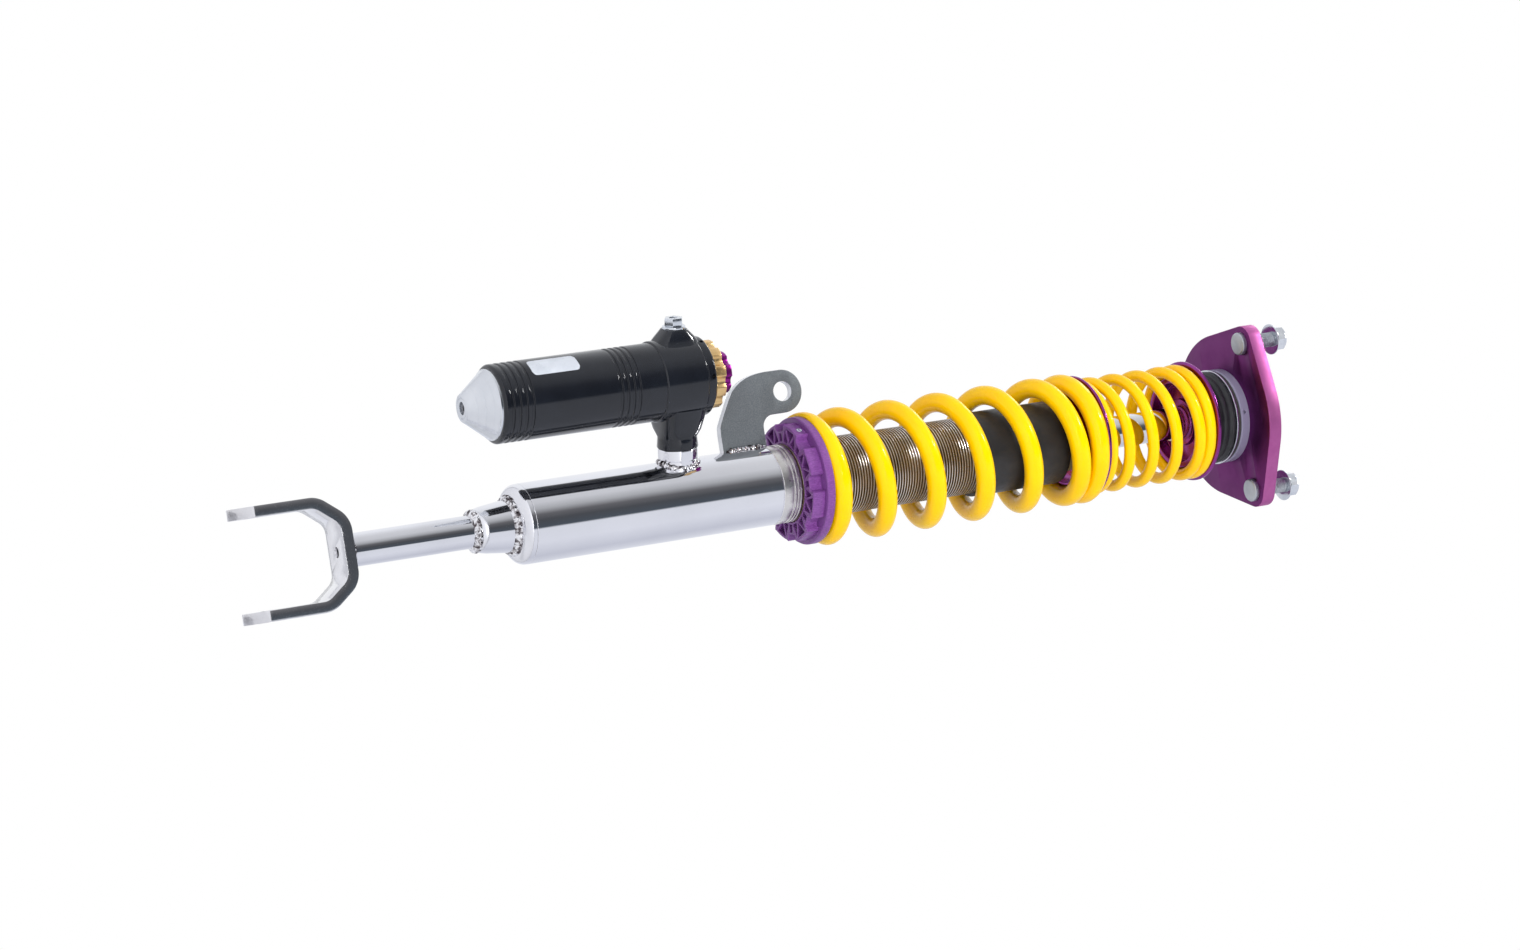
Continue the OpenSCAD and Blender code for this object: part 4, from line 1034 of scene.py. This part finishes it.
zi, zj = lo("rubber_isolator"), hi("rubber_isolator")
h = zj - zi
prof = [(14, zi, 0.4), (31.2, zi, 1.2)]
for k in range(3):
    c = zi + h * (k + 1) / 4
    prof += [(32.3, c - 2.5, 0.8), (30.7, c - 1.0, 0.8), (30.7, c + 1.0, 0.8), (32.3, c + 2.5, 0.8)]
prof += [(31.4, zj, 1.2), (14, zj, 0.4)]
lathe("isolator", prof, "black_rubber", "rod", ["rubber_isolator"])
z, zz, r = lo("isolator_washer"), hi("isolator_washer"), hi("isolator_washer", 0)
lathe("thin_washer", [(15, z, 0.2), (r, z, 0.5), (r, zz, 0.5), (15, zz, 0.2)], "zinc", "rod", ["isolator_washer"])
z, zz, r = lo("bearing_seal"), hi("bearing_seal"), hi("bearing_seal", 0)
lathe("dust_seal", [(16, z, 0.2), (r, z, 0.7), (r - 1.2, (z + zz) / 2, 0.5), (r, zz, 0.6), (16, zz, 0.2)], "black_ptfe",
      "rod", ["bearing_seal"])


def swivel_ring():
    z, zz, r = lo("swivel_bearing"), hi("swivel_bearing"), hi("swivel_bearing", 0)
    bm = bmesh.new()
    revolve(bm, soften([(16, z, 0.2), (r - 0.7, z, 0.3), (r, z + 0.7, 0.3), (r, zz, 0.1), (16, zz, 0.2)]), 144)
    bm = cut(bm, [cylinder_cutter(1.2, (0, -r - 3, z + 2.6), (0, -r + 2, z + 2.6), 20)])
    finish_mesh("bearing_ring", bm, "lavender_ring", "top_plate", ["swivel_bearing"])


swivel_ring()


# ---------------------------------------------------------------- top plate, studs and nuts

STUD_R, STUD_TURN = 59.0, 97.0


def plate():
    big, small = 56.5, 12.0
    a = math.degrees(math.acos((big - small) / STUD_R))
    outline = []
    for k in range(3):
        b = STUD_TURN + 120 * k
        outline += arc(STUD_R * math.cos(math.radians(b)), STUD_R * math.sin(math.radians(b)), small, b - a, b + a, 22)
        outline += arc(0, 0, big, b + a, b + 120 - a, 30)
    clean = [p for i, p in enumerate(outline) if (Vector(p) - Vector(outline[i - 1])).length > 1e-3]
    holes = [circle(STUD_R * math.cos(math.radians(STUD_TURN + 120 * k)),
                    STUD_R * math.sin(math.radians(STUD_TURN + 120 * k)), 5.02, 40) for k in range(3)]
    bm = bmesh.new()
    slab(bm, clean, [circle(0, 0, 16, 72)] + holes, Z_PLATE, Z_PLATE_TOP, 0.6, 2)
    # side walls more than 30 mm from the centre, the outer rim and the stud holes, take purple_edge, a painted
    # highlight on those edges; faces and the centre hole keep purple_plate
    finish_mesh("strut_plate", bm, "purple_plate", "top_plate", ["mount_plate"], angle=38, rim="purple_edge",
                side=lambda v, c: abs(v.z) < 0.75 and math.hypot(c.x, c.y) > 0.03)


plate()


def threaded(bm, r, z0, z1, pitch, at, seg=48, tip=1.0):
    prof = [(0.0, z0), (r, z0)]
    z = z0 + 0.3
    while z + pitch < z1 - tip:
        prof += [(r, z), (r - pitch * 0.3, z + pitch * 0.35), (r - pitch * 0.3, z + pitch * 0.6), (r, z + pitch * 0.92)]
        z += pitch
    prof += [(r, z1 - tip), (r - tip, z1), (0.0, z1)]
    revolve(bm, prof, seg, False, at)


def studs():
    z0, z1 = lo("plate_studs"), hi("plate_studs")
    bm = bmesh.new()
    nuts = bmesh.new()
    zn, zt = lo("stud_nuts"), hi("stud_nuts")
    for k in range(3):
        b = math.radians(STUD_TURN + 120 * k)
        at = (STUD_R * math.cos(b), STUD_R * math.sin(b))
        revolve(bm, soften([(0, z0), (7.0, z0, 0.4), (7.8, z0 + 0.5, 0.5), (7.8, Z_PLATE - 0.05, 0.2),
                            (0, Z_PLATE - 0.05)], False), 64, False, at)
        threaded(bm, 5.0, Z_PLATE - 0.1, z1, 1.5, at)
        revolve(nuts, soften([(5.05, zn, 0.2), (10.6, zn, 0.4), (10.7, zn + 1.0, 0.4), (7.6, zn + 2.9, 0.5),
                              (5.05, zn + 2.9)]), 64, True, at)
        hexcut(nuts, at, 7.5, zn + 2.0, zt, b)
    finish_mesh("stud_set", bm, "matt_zinc", "top_plate", ["plate_studs"], angle=32)
    finish_mesh("flange_nuts", nuts, "zinc", "top_plate", ["stud_nuts"], angle=32)


def hexcut(bm, at, flat, z0, z1, turn, bore=5.05, seg=72):
    """A hex nut whose corners are chamfered at the top: a radius that is the lesser of hexagon and cone."""
    rows = []
    levels = [z0, z1 - 2.2, z1 - 1.4, z1 - 0.8, z1 - 0.3, z1]
    corner = flat / math.cos(math.pi / 6)
    for z in levels:
        ring = []
        for j in range(seg):
            a = TAU * j / seg
            m = (a + math.pi / 6) % (math.pi / 3) - math.pi / 6
            r = flat / math.cos(m)
            r = min(r, corner - max(0.0, (z - (z1 - 1.3))) * 1.2)
            ring.append(bm.verts.new(((at[0] + r * math.cos(a + turn + math.pi / 6)) * MM,
                                      (at[1] + r * math.sin(a + turn + math.pi / 6)) * MM, z * MM)))
        rows.append(ring)
    inner = [[bm.verts.new(((at[0] + (bore + e) * math.cos(TAU * j / seg + turn + math.pi / 6)) * MM,
                            (at[1] + (bore + e) * math.sin(TAU * j / seg + turn + math.pi / 6)) * MM, z * MM))
              for j in range(seg)]
             for z, e in ((z1, 0.7), (z1 - 0.7, 0.0), (z0, 0.0))]
    rows += inner
    loft(bm, rows, loop=True)


studs()
bm = bmesh.new()
hexcut(bm, (0, 0), 11, lo("top_nut"), hi("top_nut"), 0.3, bore=7.05)
finish_mesh("shaft_nut", bm, "zinc", "rod", ["top_nut"], angle=32)
bm = bmesh.new()
zk = hi("rebound_knob")
lobed(bm, 5.95, 1.8, 8, zk - 4, zk, 0, 0.5, (0, 0))
finish_mesh("rebound_dial", bm, "gold_anodised", "rebound_adjuster", ["rebound_knob"], angle=40)


# ---------------------------------------------------------------- floor, light and camera

def node_maker(data):
    """Empties the nodes of a material or world. Returns its tree and a function that adds a node by its short name."""
    data.use_nodes = True
    t = data.node_tree
    t.nodes.clear()
    return t, lambda kind: t.nodes.new("ShaderNode" + kind)


def floor():
    """A pale floor that can be looked through from below."""
    floor_z = cad_box[0][2] - 0.002
    me = bpy.data.meshes.new("floor")
    s = 7.0
    me.from_pydata([(-s, -s, floor_z), (s, -s, floor_z), (s, s, floor_z), (-s, s, floor_z)], [], [(0, 1, 2, 3)])
    ob = bpy.data.objects.new("floor", me)
    scene.collection.objects.link(ob)
    m = bpy.data.materials.new("pale_floor")
    t, node = node_maker(m)
    out = node("OutputMaterial")
    mix = node("MixShader")
    geo = node("NewGeometry")
    dif = node("BsdfDiffuse")
    dif.inputs["Color"].default_value = (0.78, 0.78, 0.79, 1)
    clear = node("BsdfTransparent")
    t.links.new(geo.outputs["Backfacing"], mix.inputs[0])
    t.links.new(dif.outputs[0], mix.inputs[1])
    t.links.new(clear.outputs[0], mix.inputs[2])
    t.links.new(mix.outputs[0], out.inputs[0])
    me.materials.append(m)


def studio():
    """The light that the metal mirrors, as a band of tones round the damper. The camera sees plain white."""
    w = bpy.data.worlds.new("studio")
    scene.world = w
    t, node = node_maker(w)
    out = node("OutputWorld")
    co = node("TexCoord")
    sep = node("SeparateXYZ")
    t.links.new(co.outputs["Generated"], sep.inputs[0])
    neg = [node("Math") for _ in range(2)]
    for n, axis in zip(neg, "XY"):
        n.operation = "MULTIPLY"
        n.inputs[1].default_value = -1.0
        t.links.new(sep.outputs[axis], n.inputs[0])
    at = node("Math")
    at.operation = "ARCTAN2"
    t.links.new(neg[0].outputs[0], at.inputs[0])
    t.links.new(neg[1].outputs[0], at.inputs[1])
    mr = node("MapRange")
    mr.inputs["From Min"].default_value = -math.pi
    mr.inputs["From Max"].default_value = math.pi
    t.links.new(at.outputs[0], mr.inputs["Value"])
    ramp = node("ValToRGB")
    t.links.new(mr.outputs[0], ramp.inputs[0])
    # the studio seen round the damper: a dark slot straight ahead, softboxes on both sides
    stops = [(-180, 0.80, 0.82, 0.88), (-110, 0.58, 0.60, 0.68), (-60, 0.74, 0.76, 0.83), (-22, 0.72, 0.74, 0.80),
             (-18, 0.07, 0.085, 0.105),
             (2, 0.07, 0.075, 0.085), (18, 0.13, 0.13, 0.14), (34, 0.42, 0.43, 0.45), (52, 0.60, 0.61, 0.64),
             (80, 0.66, 0.67, 0.70), (120, 0.86, 0.88, 0.92), (180, 0.90, 0.91, 0.93)]
    e = ramp.color_ramp.elements
    while len(e) < len(stops):
        e.new(0.5)
    for el, (deg, r, g, b) in zip(e, stops):
        el.position = deg / 360 + 0.5
        el.color = (r, g, b, 1)
    back = node("Background")
    back.inputs["Strength"].default_value = 1.05
    t.links.new(ramp.outputs[0], back.inputs[0])
    plain = node("Background")
    plain.inputs[0].default_value = (1, 1, 1, 1)
    path = node("LightPath")
    mix = node("MixShader")
    t.links.new(path.outputs["Is Camera Ray"], mix.inputs[0])
    t.links.new(back.outputs[0], mix.inputs[1])
    t.links.new(plain.outputs[0], mix.inputs[2])
    t.links.new(mix.outputs[0], out.inputs[0])


def soft(name, where, size, power, target=(0, 0, 0.36)):
    """A soft rectangular lamp aimed at target."""
    l = bpy.data.lights.new(name, "AREA")
    l.shape = "RECTANGLE"
    l.size, l.size_y = size
    l.energy = power
    o = bpy.data.objects.new(name, l)
    scene.collection.objects.link(o)
    o.location = where
    o.rotation_euler = (Vector(target) - Vector(where)).to_track_quat("-Z", "Y").to_euler()
    return o


floor()
studio()
# high and low, so that the tube's own reflections of the studio stay clear of the lamps
soft("key", (-1.1, -1.3, 2.9), (0.45, 0.3), 34)
soft("rim", (-1.6, 1.0, 2.6), (1.0, 0.6), 8)
soft("fill", (0.2, -2.5, 0.35), (1.8, 0.6), 48).visible_glossy = False

# the camera looks up at the unit from below and in front of it, and lies on its side
CAM_AT = Vector((0.0, -2.284, -0.782))
CAM_RIGHT = Vector((0.15303, -0.43864, 0.88554))
CAM_UP = Vector((-0.98822, -0.07071, 0.13575))
cam = bpy.data.cameras.new("camera")
cam.sensor_width = 36.0
cam.lens = 91.85
cam.clip_end = 50
ob = bpy.data.objects.new("camera", cam)
scene.collection.objects.link(ob)
right = CAM_RIGHT.normalized()
up = (CAM_UP - right * CAM_UP.dot(right)).normalized()
back = right.cross(up)
m = Matrix((right, up, back)).transposed().to_4x4()
m.translation = CAM_AT
ob.matrix_world = m
scene.camera = ob
scene.view_settings.view_transform = "Standard"
